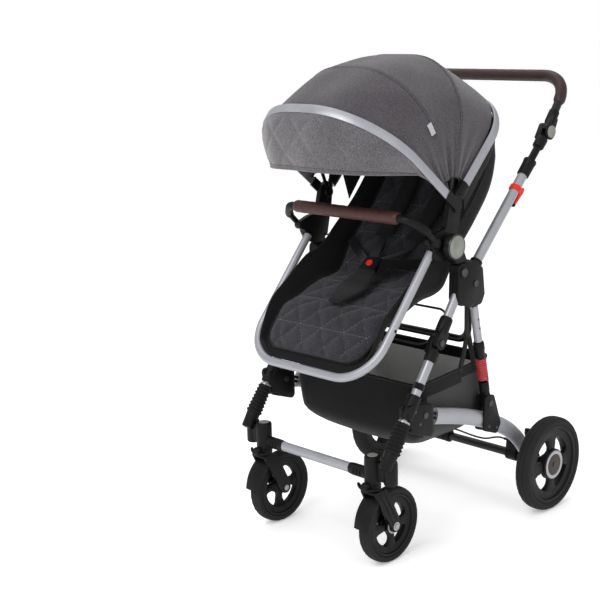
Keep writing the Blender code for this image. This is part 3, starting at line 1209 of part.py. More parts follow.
def build_canopy(seat):
    """Canopy on two ribs and a front bow, each carried by the one behind it."""
    axis = at(0, CANOPY_AXIS)
    behind = Body("canopy_rib_b", axis, seat)
    middle = Body("canopy_rib_a", axis, behind)
    front = Body("canopy_bow", axis, middle)
    inner = HUB_PLATE[0] - GAP
    layout = ((middle, "canopy_rib_a", RIB_A_ANGLE, inner - 0.0019, 0.0037),
              (behind, "canopy_rib_b", RIB_B_ANGLE, inner - 0.0059, 0.0037))
    for body, name, angle, half, thick in layout:
        path = u_path(CANOPY_AXIS, angle, half, RIB_LENGTH, RIB_CORNER, 0.010, 5)
        node = body.piece(name, dark_steel, lambda bm, p=path, a=angle, t=thick: flat_bar(bm, p, t,
            0.010, square_to(a)))
        body.shape(node, lambda bm, h=half, t=thick: turned(
            bm, at(h, CANOPY_AXIS), (1, 0, 0), [(-t / 2, 0.013), (t / 2, 0.013)], 14), "UNION", 0)
    path = u_path(CANOPY_AXIS, BOW_ANGLE, BOW_HALF, BOW_LENGTH, BOW_CORNER, 0.010, 7)
    node = front.piece("canopy_bow", silver, lambda bm: flat_bar(bm, path, BOW_THICK, BOW_BAND,
        square_to(BOW_ANGLE)))
    front.shape(node, lambda bm: turned(
        bm, at(BOW_HALF, CANOPY_AXIS), (1, 0, 0), [(-BOW_THICK / 2, 0.015), (BOW_THICK / 2, 0.015)], 14),
            "UNION", 0)

    edge = math.degrees(BOW_BAND / 2 / BOW_LENGTH) + 0.4
    front.piece("canopy_front", melange, lambda bm: canopy_panel(bm, RIB_A_ANGLE + 0.1, BOW_ANGLE - edge))
    middle.piece("canopy_mid", melange, lambda bm: canopy_panel(bm, RIB_B_ANGLE + 0.1, RIB_A_ANGLE - 0.1))
    seat.piece("canopy_rear", melange, lambda bm: canopy_panel(bm, BACK_ANGLE + 3.4, RIB_B_ANGLE - 0.1))

    def visor(bm):
        top = u_path(CANOPY_AXIS, BOW_ANGLE, BOW_HALF, BOW_LENGTH, BOW_CORNER, 0.17, 7)
        shift = square_to(BOW_ANGLE) * (BOW_BAND / 2 + 0.0008)
        rings = []
        for p in top:
            high = p + shift
            share = min(abs(p.x) / BOW_HALF, 1.0)
            low = Vector((p.x * 0.985, -0.602 + 0.165 * share ** 3, 0.920 - 0.012 * share ** 2))
            out = Vector((0.6 * p.x / BOW_HALF, -1.0, 0.25)).normalized()
            face = [high, high.lerp(low, 0.3) + out * 0.006, high.lerp(low, 0.65) + out * 0.007, low]
            rings.append(face + [q - out * VISOR_THICK for q in reversed(face)])
        loft(bm, rings)
    front.piece("visor", melange, visor)


def main():
    """Build the whole pram."""
    clear_scene()
    root = build_root()
    build_casters(root)
    upper = build_upper(root)
    shock = build_rear_legs(upper)
    build_rails(shock)
    build_handle(upper)
    build_seat(upper)


main()
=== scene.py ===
"""A convertible pram: folding chassis, swivel front wheels, sprung rear legs, seat unit and canopy.

Every class below is one sub-assembly. It holds its sizes as fields, builds its meshes and dresses
them with finishes. Side views are (y, z) pairs in metres, y measured from the rear axle, and turned
profiles are (distance along the axis, radius) pairs. Long lists of pairs are in millimetres, in mm().
"""

import logging
import math
from collections.abc import Callable, Sequence
from dataclasses import dataclass
from enum import Enum, IntEnum

import bmesh
import bpy
from mathutils import Matrix, Vector


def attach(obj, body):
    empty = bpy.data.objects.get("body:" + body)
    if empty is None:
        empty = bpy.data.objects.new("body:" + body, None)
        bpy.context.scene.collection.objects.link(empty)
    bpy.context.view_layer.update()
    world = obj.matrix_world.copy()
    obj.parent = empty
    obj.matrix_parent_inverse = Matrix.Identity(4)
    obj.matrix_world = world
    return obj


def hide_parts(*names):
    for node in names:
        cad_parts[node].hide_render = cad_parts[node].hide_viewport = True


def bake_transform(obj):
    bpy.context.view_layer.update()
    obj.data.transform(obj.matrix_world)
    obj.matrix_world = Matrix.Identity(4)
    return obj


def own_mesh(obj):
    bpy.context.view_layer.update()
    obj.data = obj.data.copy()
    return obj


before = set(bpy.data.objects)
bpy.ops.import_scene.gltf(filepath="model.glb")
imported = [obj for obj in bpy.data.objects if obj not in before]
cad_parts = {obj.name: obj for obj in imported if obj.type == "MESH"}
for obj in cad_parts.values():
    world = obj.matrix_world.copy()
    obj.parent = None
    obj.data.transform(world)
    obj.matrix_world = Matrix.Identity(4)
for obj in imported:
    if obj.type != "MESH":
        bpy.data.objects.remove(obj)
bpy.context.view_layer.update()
LOG = logging.getLogger("pram")

Side2 = tuple[float, float]
Colour = tuple[float, float, float]
Socket = bpy.types.NodeSocket
Input = Socket | float | tuple[float, float, float]

X_AXIS = Vector((1, 0, 0))
Y_AXIS = Vector((0, 1, 0))
Z_AXIS = Vector((0, 0, 1))
AXLE_Y = 0.23244
SIDE_X = 0.229


# Geometry

def paint(red: int, green: int, blue: int) -> Colour:
    """Linear colour of an 8 bit screen colour.

    Args:
        red: red channel, 0 to 255.
        green: green channel.
        blue: blue channel.

    Returns:
        The colour as linear shares.
    """
    def channel(value: int) -> float:
        """One channel made linear."""
        share = value / 255
        return share / 12.92 if share <= 0.04045 else ((share + 0.055) / 1.055) ** 2.4

    return channel(red), channel(green), channel(blue)


def at(x: float, yz: Side2) -> Vector:
    """A side view point at one x, in the frame of the model."""
    return spot(x, yz[0], yz[1])


def tongue(base: Side2, across: Side2, half: float, tip: Side2, radius: float, turns: Sequence[float]) -> list[Side2]:
    """Outline of a plate that runs from a straight root to a round tip.

    Args:
        base: middle of the root.
        across: direction of the root.
        half: half of the root's width.
        tip: middle of the round tip.
        radius: its radius.
        turns: angles of its points off the root's direction, in degrees.

    Returns:
        Corners of the side view outline.
    """
    start = math.degrees(math.atan2(across[1], across[0]))
    root = [along(base, across, -half), along(base, across, half)]
    return root + [along(tip, toward(start + turn), radius) for turn in turns]


def mm(*pairs: Side2) -> list[Side2]:
    """Pairs of lengths given in millimetres, in metres."""
    return [(a / 1000, b / 1000) for a, b in pairs]


def spot(x: float, y: float, z: float) -> Vector:
    """A point whose y counts from the rear axle."""
    return Vector((x, y + AXLE_Y, z))


def unit(a: Side2, b: Side2) -> Side2:
    """The direction from one side view point to another."""
    size = math.dist(a, b)
    return (b[0] - a[0]) / size, (b[1] - a[1]) / size


def along(start: Side2, direction: Side2, distance: float) -> Side2:
    """A side view point some way from a start."""
    return start[0] + direction[0] * distance, start[1] + direction[1] * distance


def toward(angle: float) -> Side2:
    """The side view direction at an angle in degrees above +Y."""
    return math.cos(math.radians(angle)), math.sin(math.radians(angle))


def square(direction: Side2) -> Side2:
    """The side view direction a quarter turn on."""
    return -direction[1], direction[0]


def in3(direction: Side2) -> Vector:
    """A side view direction as a vector."""
    return Vector((0, direction[0], direction[1]))


def facing(angle: float) -> Vector:
    """The direction square to a plane that leans at an angle."""
    return in3(square(toward(angle)))


def fair(share: float) -> float:
    """A smooth step from 0 to 1."""
    share = min(max(share, 0.0), 1.0)
    return share * share * (3 - 2 * share)


def rounded(points: Sequence[Vector], radius: float, steps: int = 10) -> list[Vector]:
    """An open path with its corners rounded.

    Args:
        points: corners of the path.
        radius: radius of the bend, in metres.
        steps: spans in each bend.

    Returns:
        Points along the rounded path.
    """
    path = [points[0]]
    last = len(points) - 2
    for i in range(1, last + 1):
        shares = (0.98 if i == 1 else 0.49, 0.98 if i == last else 0.49)
        path += bend(points[i - 1], points[i], points[i + 1], radius, steps, shares)
    return path + [points[-1]]


def bend(before: Vector, corner: Vector, after: Vector, radius: float, steps: int,
        shares: tuple[float, float] = (0.49, 0.49)) -> list[Vector]:
    """Points of the arc that rounds one corner.

    Args:
        before: the point ahead of the corner.
        corner: the corner itself.
        after: the point behind it.
        radius: radius of the arc.
        steps: spans of the arc.
        shares: how much of each side the arc may use.

    Returns:
        Points from the first side to the second.
    """
    a = before - corner
    b = after - corner
    half = a.angle(b) / 2
    if half > math.pi / 2 - 0.01:
        return [corner]
    reach = min(radius / math.tan(half), a.length * shares[0], b.length * shares[1])
    arc = reach * math.tan(half)
    centre = corner + (a.normalized() + b.normalized()).normalized() * (arc / math.sin(half))
    first = corner + a.normalized() * reach - centre
    last = corner + b.normalized() * reach - centre
    return [centre + first.slerp(last, i / steps).normalized() * arc for i in range(steps + 1)]


def soft_outline(outline: Sequence[Side2], radius: float, steps: int = 5) -> list[Side2]:
    """A closed side view outline with its corners rounded.

    Args:
        outline: corners of a closed side view outline.
        radius: radius of the bends.
        steps: spans in each bend.

    Returns:
        Points of the rounded outline.
    """
    points = [Vector((0, y, z)) for y, z in outline]
    made: list[Vector] = []
    for i, corner in enumerate(points):
        made += bend(points[i - 1], corner, points[(i + 1) % len(points)], radius, steps)
    return [(p.y, p.z) for p in made]


def flowing(route: Sequence[Vector], between: int) -> list[Vector]:
    """Points on a smooth curve through a route, with some between each two.

    Args:
        route: points to pass through.
        between: spans between each two of them.

    Returns:
        Points along the curve.
    """
    ends = [route[0] * 2 - route[1], *route, route[-1] * 2 - route[-2]]
    made = []
    for p0, p1, p2, p3 in zip(ends, ends[1:], ends[2:], ends[3:]):
        for i in range(between):
            t = i / between
            made.append(0.5 * (2 * p1 + (p2 - p0) * t + (2 * p0 - 5 * p1 + 4 * p2 - p3) * t ** 2 + (3 * p1 - p0 - 3 *
                p2 + p3) * t ** 3))
    return made + [route[-1]]


def hoop(axis: Side2, angle: float, half: float, length: float, corner: float, start: float,
        steps: int = 14) -> list[Vector]:
    """A U in a plane that leans at an angle.

    Args:
        axis: side view point that the plane turns about.
        angle: lean of the plane in degrees above +Y.
        half: half the width of the U.
        length: distance from the axis to the top of the U.
        corner: radius of its two bends.
        start: distance from the axis to its ends.
        steps: spans in each bend.

    Returns:
        Points from the right end over the top to the left end.
    """
    direction = toward(angle)
    low = along(axis, direction, start)
    top = along(axis, direction, length)
    return rounded([at(half, low), at(half, top), at(-half, top), at(-half, low)], corner, steps)


def both(path: Sequence[Vector]) -> list[Vector]:
    """A path carried on to its mirror image across the middle of the pram."""
    return [*path, *(Vector((-p.x, p.y, p.z)) for p in reversed(path))]


def offset(line: Sequence[Side2], distance: float) -> list[Side2]:
    """A side view line moved towards its front when walked downwards.

    Args:
        line: the side view line.
        distance: how far it moves.

    Returns:
        The moved points.
    """
    moved = []
    for i, point in enumerate(line):
        y, z = unit(line[max(i - 1, 0)], line[min(i + 1, len(line) - 1)])
        moved.append((point[0] + z * distance, point[1] - y * distance))
    return moved


def spread(values: Sequence[tuple[float, ...]], count: int) -> list[tuple[float, ...]]:
    """Resample a list of points evenly and smoothly.

    Args:
        values: points of any number of coordinates.
        count: how many to return.

    Returns:
        Points on a smooth curve through the given ones, ends kept.
    """
    made = []
    last = len(values) - 1
    for k in range(count):
        place = k / (count - 1) * last
        i = min(int(place), last - 1)
        t = place - i
        p0, p1 = values[max(i - 1, 0)], values[i]
        p2, p3 = values[i + 1], values[min(i + 2, last)]
        made.append(tuple(0.5 * (2 * b + (c - a) * t + (2 * a - 5 * b + 4 * c - d) * t ** 2
            + (3 * b - a - 3 * c + d) * t ** 3) for a, b, c, d in zip(p0, p1, p2, p3)))
    return made


def even(path: Sequence[Vector], step: float) -> list[Vector]:
    """A path resampled at even distances.

    Args:
        path: points of the path.
        step: distance to keep, about.

    Returns:
        The new points, ends included.
    """
    lengths = [0.0]
    for a, b in zip(path, path[1:]):
        lengths.append(lengths[-1] + (b - a).length)
    count = max(2, round(lengths[-1] / step))
    made = []
    i = 0
    for k in range(count + 1):
        goal = lengths[-1] * k / count
        while i < len(path) - 2 and lengths[i + 1] < goal:
            i += 1
        span = max(lengths[i + 1] - lengths[i], 1e-9)
        made.append(path[i].lerp(path[i + 1], min(max((goal - lengths[i]) / span, 0.0), 1.0)))
    return made


def resampled(path: Sequence[Vector], count: int) -> list[Vector]:
    """A path as a set number of evenly spaced points.

    Args:
        path: points of the path.
        count: number of new points.

    Returns:
        The new points, ends included.
    """
    total = sum((b - a).length for a, b in zip(path, path[1:]))
    made = even(path, total / (count - 1))
    return made[:count - 1] + [path[-1]] if len(made) >= count else made + [path[-1]] * (count - len(made))


class Side(IntEnum):
    """The two sides of the pram, as signs of x."""

    RIGHT = 1
    LEFT = -1

    @property
    def label(self) -> str:
        """The side's name in the frame."""
        return self.name.lower()


@dataclass(frozen=True)
class Lines:
    """Side view lines of the frame that several sub-assemblies share."""

    leg_top: Side2 = (-0.3, 0.64)
    leg_foot: Side2 = (-0.556, 0.284)
    handle_foot: Side2 = (-0.27, 0.655)
    knuckle: Side2 = (0.036, 0.966)
    rear_pivot: Side2 = (-0.265, 0.635)
    rear_foot: Side2 = (-0.199, 0.323)
    canopy_axis: Side2 = (-0.3, 0.82)

    @property
    def leg(self) -> Side2:
        """Direction down the front legs."""
        return unit(self.leg_top, self.leg_foot)

    @property
    def knee(self) -> Side2:
        """The knees' pivot."""
        return along(self.leg_top, self.leg, 0.155)

    @property
    def rear(self) -> Side2:
        """Direction down the rear legs."""
        return unit(self.rear_pivot, self.rear_foot)

    @property
    def handle(self) -> Side2:
        """Direction up the handle's tubes."""
        return unit(self.handle_foot, self.knuckle)


LINES = Lines()
KNEE_EYE = ((-1, 0), (-0.86, 0.0085), (-0.5, 0.0148), (0, 0.0175), (0.5, 0.0148), (0.86, 0.0085), (1, 0))


# Finishes

class Nodes:
    """A material's node tree with short ways to add what the finishes need."""

    def __init__(self, name: str, colour: Colour, constants: dict[str, float]) -> None:
        """Start a material with its shader's own constants set.

        Args:
            name: the material's name.
            colour: base colour.
            constants: values of the shader's sockets by their names.
        """
        self.material = bpy.data.materials.new(name)
        self.material.use_nodes = True
        self.tree = self.material.node_tree
        self.shader = self.tree.nodes["Principled BSDF"]
        self.shader.inputs["Base Color"].default_value = (*colour, 1)
        for socket, value in constants.items():
            self.shader.inputs[socket].default_value = value
        self.material.diffuse_color = (*colour, 1)
        self.place = self.tree.nodes.new("ShaderNodeTexCoord").outputs["Object"]

    def add(self, kind: str, inputs: dict[str, Input]) -> bpy.types.Node:
        """A new node.

        Args:
            kind: the node's type, without its prefix.
            inputs: a constant or another node's socket for each input by its name.

        Returns:
            The node.
        """
        node = self.tree.nodes.new(f"ShaderNode{kind}")
        for name, value in inputs.items():
            if isinstance(value, Socket):
                self.tree.links.new(value, node.inputs[name])
            else:
                node.inputs[name].default_value = value
        return node

    def stretched(self, scale: tuple[float, float, float]) -> Socket:
        """Object coordinates stretched along each axis."""
        return self.add("Mapping", {"Scale": scale, "Vector": self.place}).outputs["Vector"]

    def noise(self, scale: float, detail: float = 3, place: Socket | None = None) -> Socket:
        """Cloudy grain, scale in turns per metre."""
        return self.add("TexNoise", {"Scale": scale, "Detail": detail, "Vector": place or self.place}).outputs["Fac"]

    def cells(self, scale: float) -> Socket:
        """Distance to the nearest cell centre."""
        return self.add("TexVoronoi", {"Scale": scale, "Vector": self.place}).outputs["Distance"]

    def lines(self, scale: float, axis: str) -> Socket:
        """Straight threads across one axis.

        Args:
            scale: turns per metre.
            axis: X, Y or Z.

        Returns:
            The pattern, from 0 to 1.
        """
        node = self.add("TexWave", {"Scale": scale, "Vector": self.place})
        node.bands_direction = axis
        return node.outputs["Fac"]

    def sum(self, operation: str, one: Socket, two: Input) -> Socket:
        """One sum of two values.

        Args:
            operation: ADD or MULTIPLY.
            one: the first value.
            two: the second value, or a constant.

        Returns:
            The result.
        """
        node = self.add("Math", {})
        node.operation = operation
        self.tree.links.new(one, node.inputs[0])
        if isinstance(two, float):
            node.inputs[1].default_value = two
        else:
            self.tree.links.new(two, node.inputs[1])
        return node.outputs[0]

    def ramp(self, value: Socket, stops: Sequence[tuple[float, Colour]]) -> None:
        """Feed the base colour with colours laid along a value.

        Args:
            value: the value, from 0 to 1.
            stops: place and colour of each stop.
        """
        node = self.add("ValToRGB", {"Fac": value})
        while len(node.color_ramp.elements) < len(stops):
            node.color_ramp.elements.new(0.5)
        for element, (place, colour) in zip(node.color_ramp.elements, stops):
            element.position = place
            element.color = (*colour, 1)
        self.tree.links.new(node.outputs["Color"], self.shader.inputs["Base Color"])

    def rough(self, value: Socket, low: float, high: float) -> None:
        """Vary the roughness between two limits.

        Args:
            value: the value that it follows.
            low: smallest roughness.
            high: largest roughness.
        """
        node = self.add("MapRange", {"From Min": 0.3, "From Max": 0.7, "To Min": low, "To Max": high, "Value": value})
        self.tree.links.new(node.outputs[0], self.shader.inputs["Roughness"])

    def bump(self, height: Socket, distance: float, strength: float) -> None:
        """Raise the surface, on top of what raised it before.

        Args:
            height: height field.
            distance: its depth in metres.
            strength: share of it that shows.
        """
        taken = self.shader.inputs["Normal"]
        before = {"Normal": taken.links[0].from_socket} if taken.is_linked else {}
        node = self.add("Bump", {"Distance": distance, "Strength": strength, "Height": height, **before})
        self.tree.links.new(node.outputs["Normal"], taken)


def shade(colour: Colour, share: float) -> Colour:
    """A colour made lighter or darker."""
    return tuple(min(c * share, 1.0) for c in colour)


@dataclass(frozen=True)
class Finish:
    """What every finish has: a name, a slot name and a colour."""

    name: str
    slot: str
    colour: Colour

    def nodes(self) -> Nodes:
        """The finish's node tree, made by each kind."""
        raise NotImplementedError

    def material(self) -> bpy.types.Material:
        """The material, made once."""
        return bpy.data.materials.get(self.name) or self.nodes().material


@dataclass(frozen=True)
class Metal(Finish):
    """Satin or brushed bare metal."""

    roughness: float = 0.34
    grain: float = 900.0

    def nodes(self) -> Nodes:
        """Fine grain with slightly uneven gloss.

        Returns:
            The nodes of the new material.
        """
        made = Nodes(self.name, self.colour, {"Roughness": self.roughness, "Metallic": 0.62})
        cloud = made.noise(24, 4)
        made.rough(cloud, self.roughness - 0.06, self.roughness + 0.1)
        made.ramp(cloud, [(0.25, shade(self.colour, 0.9)), (0.75, shade(self.colour, 1.06))])
        made.bump(made.noise(self.grain, 2), 0.00004, 0.35)
        return made


@dataclass(frozen=True)
class Moulding(Finish):
    """Moulded plastic with a fine spark texture."""

    roughness: float = 0.48
    texture: float = 0.00008

    def nodes(self) -> Nodes:
        """Leathery mould texture and rubbed, slightly lighter patches.

        Returns:
            The nodes of the new material.
        """
        made = Nodes(self.name, self.colour, {"Roughness": self.roughness, "Specular IOR Level": 0.16})
        cloud = made.noise(38, 5)
        made.rough(cloud, self.roughness - 0.07, self.roughness + 0.09)
        made.ramp(cloud, [(0.3, shade(self.colour, 0.82)), (0.72, shade(self.colour, 1.28))])
        made.bump(made.cells(1500), self.texture, 0.6)
        return made


@dataclass(frozen=True)
class Paint(Finish):
    """Powder coat or wire paint."""

    roughness: float = 0.36

    def nodes(self) -> Nodes:
        """Fine orange peel under a soft gloss.

        Returns:
            The nodes of the new material.
        """
        made = Nodes(self.name, self.colour, {"Roughness": self.roughness, "Specular IOR Level": 0.3,
            "Coat Weight": 0.12, "Coat Roughness": 0.3})
        cloud = made.noise(55, 3)
        made.ramp(cloud, [(0.3, shade(self.colour, 0.85)), (0.7, shade(self.colour, 1.15))])
        made.bump(made.noise(1100, 1), 0.00006, 0.5)
        return made


@dataclass(frozen=True)
class Rubber(Finish):
    """Tyre rubber and ribbed boots."""

    def nodes(self) -> Nodes:
        """Dull surface with dusty patches.

        Returns:
            The nodes of the new material.
        """
        made = Nodes(self.name, self.colour, {"Roughness": 0.78, "Specular IOR Level": 0.2})
        dust = made.noise(30, 6)
        made.rough(dust, 0.68, 0.88)
        made.ramp(dust, [(0.35, self.colour), (0.75, shade(self.colour, 1.7))])
        made.bump(made.noise(700, 3), 0.00012, 0.6)
        return made


@dataclass(frozen=True)
class Leather(Finish):
    """Grained leather wrap."""

    def nodes(self) -> Nodes:
        """Pebbled grain with painted shade darkening its creases, lighter worn patches and a worn sheen.

        Returns:
            The nodes of the new material.
        """
        made = Nodes(self.name, self.colour, {"Roughness": 0.46, "Specular IOR Level": 0.3})
        grain = made.cells(620)
        wear = made.noise(26, 4)
        made.rough(wear, 0.38, 0.58)
        # painted shade: the colour darkens where the grain's bump sinks, mixed with random wear patches
        crease_shade_and_wear = made.sum("MULTIPLY", made.sum("ADD", grain, 0.45), made.sum("ADD", wear, 0.35))
        made.ramp(crease_shade_and_wear, [(0.35, shade(self.colour, 0.62)), (0.75, shade(self.colour, 1.35))])
        made.bump(grain, 0.00028, 0.8)
        made.bump(made.noise(160, 4), 0.0003, 0.5)
        return made


@dataclass(frozen=True)
class Cloth(Finish):
    """Woven cloth, plain or melange.

    Melange is how far the light and dark yarns differ, and thread the pitch of the weave in
    threads per metre over 2 pi.
    """

    melange: float = 0.25
    thread: float = 230.0
    sheen: float = 0.14

    def nodes(self) -> Nodes:
        """Two crossing sets of threads, streaky yarn colours and a soft sheen.

        Returns:
            The nodes of the new material.
        """
        made = Nodes(self.name, self.colour, {"Roughness": 0.88, "Sheen Weight": self.sheen, "Sheen Roughness": 0.5,
            "Specular IOR Level": 0.1})
        weft = made.noise(1.0, 2, made.stretched((160, 900, 900)))
        warp = made.noise(1.0, 2, made.stretched((900, 260, 260)))
        patch = made.noise(9, 4)
        yarn = made.sum("ADD", made.sum("MULTIPLY", made.sum("ADD", weft, warp), 0.42),
            made.sum("MULTIPLY", patch, 0.16))
        made.ramp(yarn, [(0.3, shade(self.colour, 1 - self.melange * 1.3)), (0.5, self.colour),
            (0.7, shade(self.colour, 1 + self.melange * 2.0))])
        threads = made.sum("ADD", made.lines(self.thread, "X"), made.lines(self.thread, "Z"))
        made.bump(made.sum("ADD", threads, made.lines(self.thread, "Y")), 0.00035, 0.5)
        return made


@dataclass(frozen=True)
class Netting(Finish):
    """Knitted netting with rows of round holes, shown closed by its dark inside."""

    hole: Colour = (0.012, 0.012, 0.012)
    pitch: float = 300.0

    def nodes(self) -> Nodes:
        """Holes in rows, with raised knit between them.

        Returns:
            The nodes of the new material.
        """
        made = Nodes(self.name, self.colour, {"Roughness": 0.85})
        cells = made.cells(self.pitch)
        made.ramp(cells, [(0.1, self.hole), (0.22, self.colour)])
        made.bump(cells, 0.0005, 0.8)
        made.bump(made.noise(20, 3), 0.002, 0.3)
        return made


class Look(Enum):
    """The finishes of this pram."""

    TUBE = Metal("satin_tube", "satin_aluminium", paint(160, 161, 167), 0.44)
    BOLT = Metal("bright_bolt", "steel", paint(160, 160, 164), 0.3)
    PIN = Metal("dark_pin", "steel", paint(62, 62, 64), 0.34)
    BLACK = Moulding("black_moulding", "black_plastic", paint(14, 14, 14))
    GREY = Moulding("grey_moulding", "grey_plastic", paint(126, 130, 122), 0.55)
    CAP = Moulding("brown_hub_cap", "grey_plastic", paint(58, 52, 47), 0.42)
    RED = Moulding("red_moulding", "red_plastic", paint(214, 44, 32), 0.34, 0.00003)
    BLACK_STEEL = Paint("black_powder_coat", "black_steel", paint(15, 15, 16))
    SPRING = Paint("red_spring_paint", "red_spring", paint(178, 58, 66), 0.34)
    TYRE = Rubber("tyre_rubber_black", "tyre_rubber", paint(27, 27, 28))
    BOOT = Rubber("bellows_rubber", "black_plastic", paint(16, 16, 17))
    WRAP = Leather("handle_leather", "dark_leather", paint(42, 27, 25))
    BUMPER = Leather("bumper_leather", "brown_leather", paint(58, 34, 31))
    CANOPY = Cloth("canopy_melange", "melange_fabric", paint(66, 62, 67), 0.7, 230.0, 0.3)
    VISOR = Cloth("visor_melange", "melange_fabric", paint(88, 85, 88), 0.6, 230.0, 0.45)
    TAG = Cloth("blank_tag_tape", "melange_fabric", paint(176, 178, 186), 0.1)
    PIPING = Cloth("dark_binding", "black_fabric", paint(16, 16, 17), 0.15)
    SHELL = Cloth("black_seat_cloth", "black_fabric", paint(14, 14, 15), 0.2)
    PAD = Cloth("quilted_melange", "quilted_fabric", paint(47, 46, 51), 0.7)
    STITCH = Cloth("pale_stitching", "quilted_fabric", paint(104, 102, 110), 0.1)
    WEBBING = Cloth("black_webbing", "black_fabric", paint(14, 14, 15), 0.12, 420.0)
    BASKET = Cloth("basket_cloth", "mesh_fabric", paint(15, 15, 15), 0.18)
    NET_DARK = Netting("dark_netting", "mesh_fabric", paint(56, 56, 56))
    NET_PALE = Netting("pale_netting", "mesh_fabric", paint(238, 238, 235), paint(178, 178, 175), 330.0)


# Meshes

class Draft:
    """A mesh being drawn as closed shells, each with the number of its finish."""

    def __init__(self) -> None:
        """Start empty."""
        self.bm = bmesh.new()

    def skin(self, rings: Sequence[Sequence[Vector]], slot: int = 0, caps: bool = True, closed: bool = False) -> None:
        """Join rings of equal length into one shell.

        Args:
            rings: points of each ring, in step with each other.
            slot: number of the finish.
            caps: fill the first and the last ring.
            closed: join the last ring to the first.
        """
        made = [[self.bm.verts.new(p) for p in ring] for ring in rings]
        pairs = list(zip(made, made[1:]))
        if closed:
            pairs.append((made[-1], made[0]))
        faces = []
        for one, two in pairs:
            for i in range(len(one)):
                j = (i + 1) % len(one)
                faces.append(self.bm.faces.new((one[i], one[j], two[j], two[i])))
        if caps and not closed:
            faces += [self.bm.faces.new(made[0]), self.bm.faces.new(made[-1])]
        for face in faces:
            face.material_index = slot

    def tube(self, path: Sequence[Vector], radius: float | Callable[[float], float], sides: int = 20, slot: int = 0,
            across: Vector | None = None, deep: float = 1.0, closed: bool = False) -> None:
        """A bar of round or oval section along a path.

        Args:
            path: middle line.
            radius: radius, or radius at each share of the path.
            sides: points round the section.
            slot: number of the finish.
            across: direction that the oval's short way keeps to.
            deep: how much deeper than wide the section is.
            closed: join the end to the start.
        """
        rings = []
        v = (across or X_AXIS).copy()
        count = len(path)
        for i, point in enumerate(path):
            ahead = path[(i + 1) % count] if closed else path[min(i + 1, count - 1)]
            behind = path[i - 1] if closed else path[max(i - 1, 0)]
            tangent = ((ahead - point).normalized() + (point - behind).normalized()).normalized()
            base = across or v
            v = base - tangent * base.dot(tangent)
            if v.length < 1e-4:
                v = tangent.orthogonal()
            v.normalize()
            u = v.cross(tangent)
            r = radius(i / max(count - 1, 1)) if callable(radius) else radius
            rings.append([point + u * (r * deep * math.cos(t)) + v * (r * math.sin(t)) for t in (2 * math.pi * k /
                sides for k in range(sides))])
        self.skin(rings, slot, closed=closed)

    def lathe(self, centre: Vector, axis: Sequence[float], profile: Sequence[Side2], sides: int = 40, slot: int = 0,
            closed: bool = False) -> None:
        """A shell turned about an axis.

        Args:
            centre: where distances along the axis start.
            axis: direction of the axis.
            profile: (distance along the axis, radius) stations.
            sides: points round the axis.
            slot: number of the finish.
            closed: the profile is a closed ring section.
        """
        axis = Vector(axis).normalized()
        u = axis.orthogonal().normalized()
        v = axis.cross(u)
        turns = [2 * math.pi * k / sides for k in range(sides)]
        rings = [[centre + axis * d + (u * math.cos(t) + v * math.sin(t)) * r for t in turns] for d, r in profile]
        self.skin(rings, slot, closed=closed)

    def slab(self, outline: Sequence[Side2], x0: float, x1: float, ease: float = 0.001, slot: int = 0) -> None:
        """A plate from a side view outline, with eased edges.

        Args:
            outline: corners of the side view outline.
            x0: one face of the plate.
            x1: its other face.
            ease: size of the eased edges.
            slot: number of the finish.
        """
        middle = (sum(p[0] for p in outline) / len(outline), sum(p[1] for p in outline) / len(outline))
        far = max(math.dist(p, middle) for p in outline)

        def ring(x: float, inset: float) -> list[Vector]:
            """The outline at one x, drawn in a little."""
            return [at(x, along(middle, (p[0] - middle[0], p[1] - middle[1]), 1 - inset / far)) for p in outline]

        x0, x1 = sorted((x0, x1))
        stops = [(x0, ease), (x0 + ease * 0.3, ease * 0.3), (x0 + ease, 0.0)]
        stops += [(x1 - ease, 0.0), (x1 - ease * 0.3, ease * 0.3), (x1, ease)]
        self.skin([ring(x, inset) for x, inset in stops], slot)

    def band(self, path: Sequence[Vector], thick: float, wide: float, across: Vector, slot: int = 0) -> None:
        """A flat bar or strap along a path, wide along one direction.

        Args:
            path: middle line of the bar.
            thick: its thickness.
            wide: its width.
            across: direction of the width.
            slot: number of the finish.
        """
        rings = []
        for i, point in enumerate(path):
            tangent = (path[min(i + 1, len(path) - 1)] - path[max(i - 1, 0)]).normalized()
            v = (across - tangent * across.dot(tangent)).normalized()
            u = v.cross(tangent)
            a, b = thick / 2, wide / 2
            c = min(a, b) * 0.6
            section = [(a, b - c), (a - c * 0.3, b - c * 0.3), (a - c, b), (c - a, b), (c * 0.3 - a, b - c * 0.3),
                (-a, b - c), (-a, c - b), (c * 0.3 - a, c * 0.3 - b), (c - a, -b), (a - c, -b),
                (a - c * 0.3, c * 0.3 - b), (a, c - b)]
            rings.append([point + u * p + v * q for p, q in section])
        self.skin(rings, slot)

    def sheet(self, grid: Sequence[Sequence[Vector]], thick: float, slot: int = 0) -> None:
        """A cloth of a given thickness from a grid of points.

        Args:
            grid: rows of points on the outer face.
            thick: thickness, laid to the side that the grid's normals point away from.
            slot: number of the finish.
        """
        rows, cols = len(grid), len(grid[0])

        def normal(i: int, j: int) -> Vector:
            """Mean direction off the grid at one point.

            Args:
                i: row.
                j: place in the row.

            Returns:
                The direction, one long.
            """
            a = grid[min(i + 1, rows - 1)][j] - grid[max(i - 1, 0)][j]
            b = grid[i][min(j + 1, cols - 1)] - grid[i][max(j - 1, 0)]
            return a.cross(b).normalized()

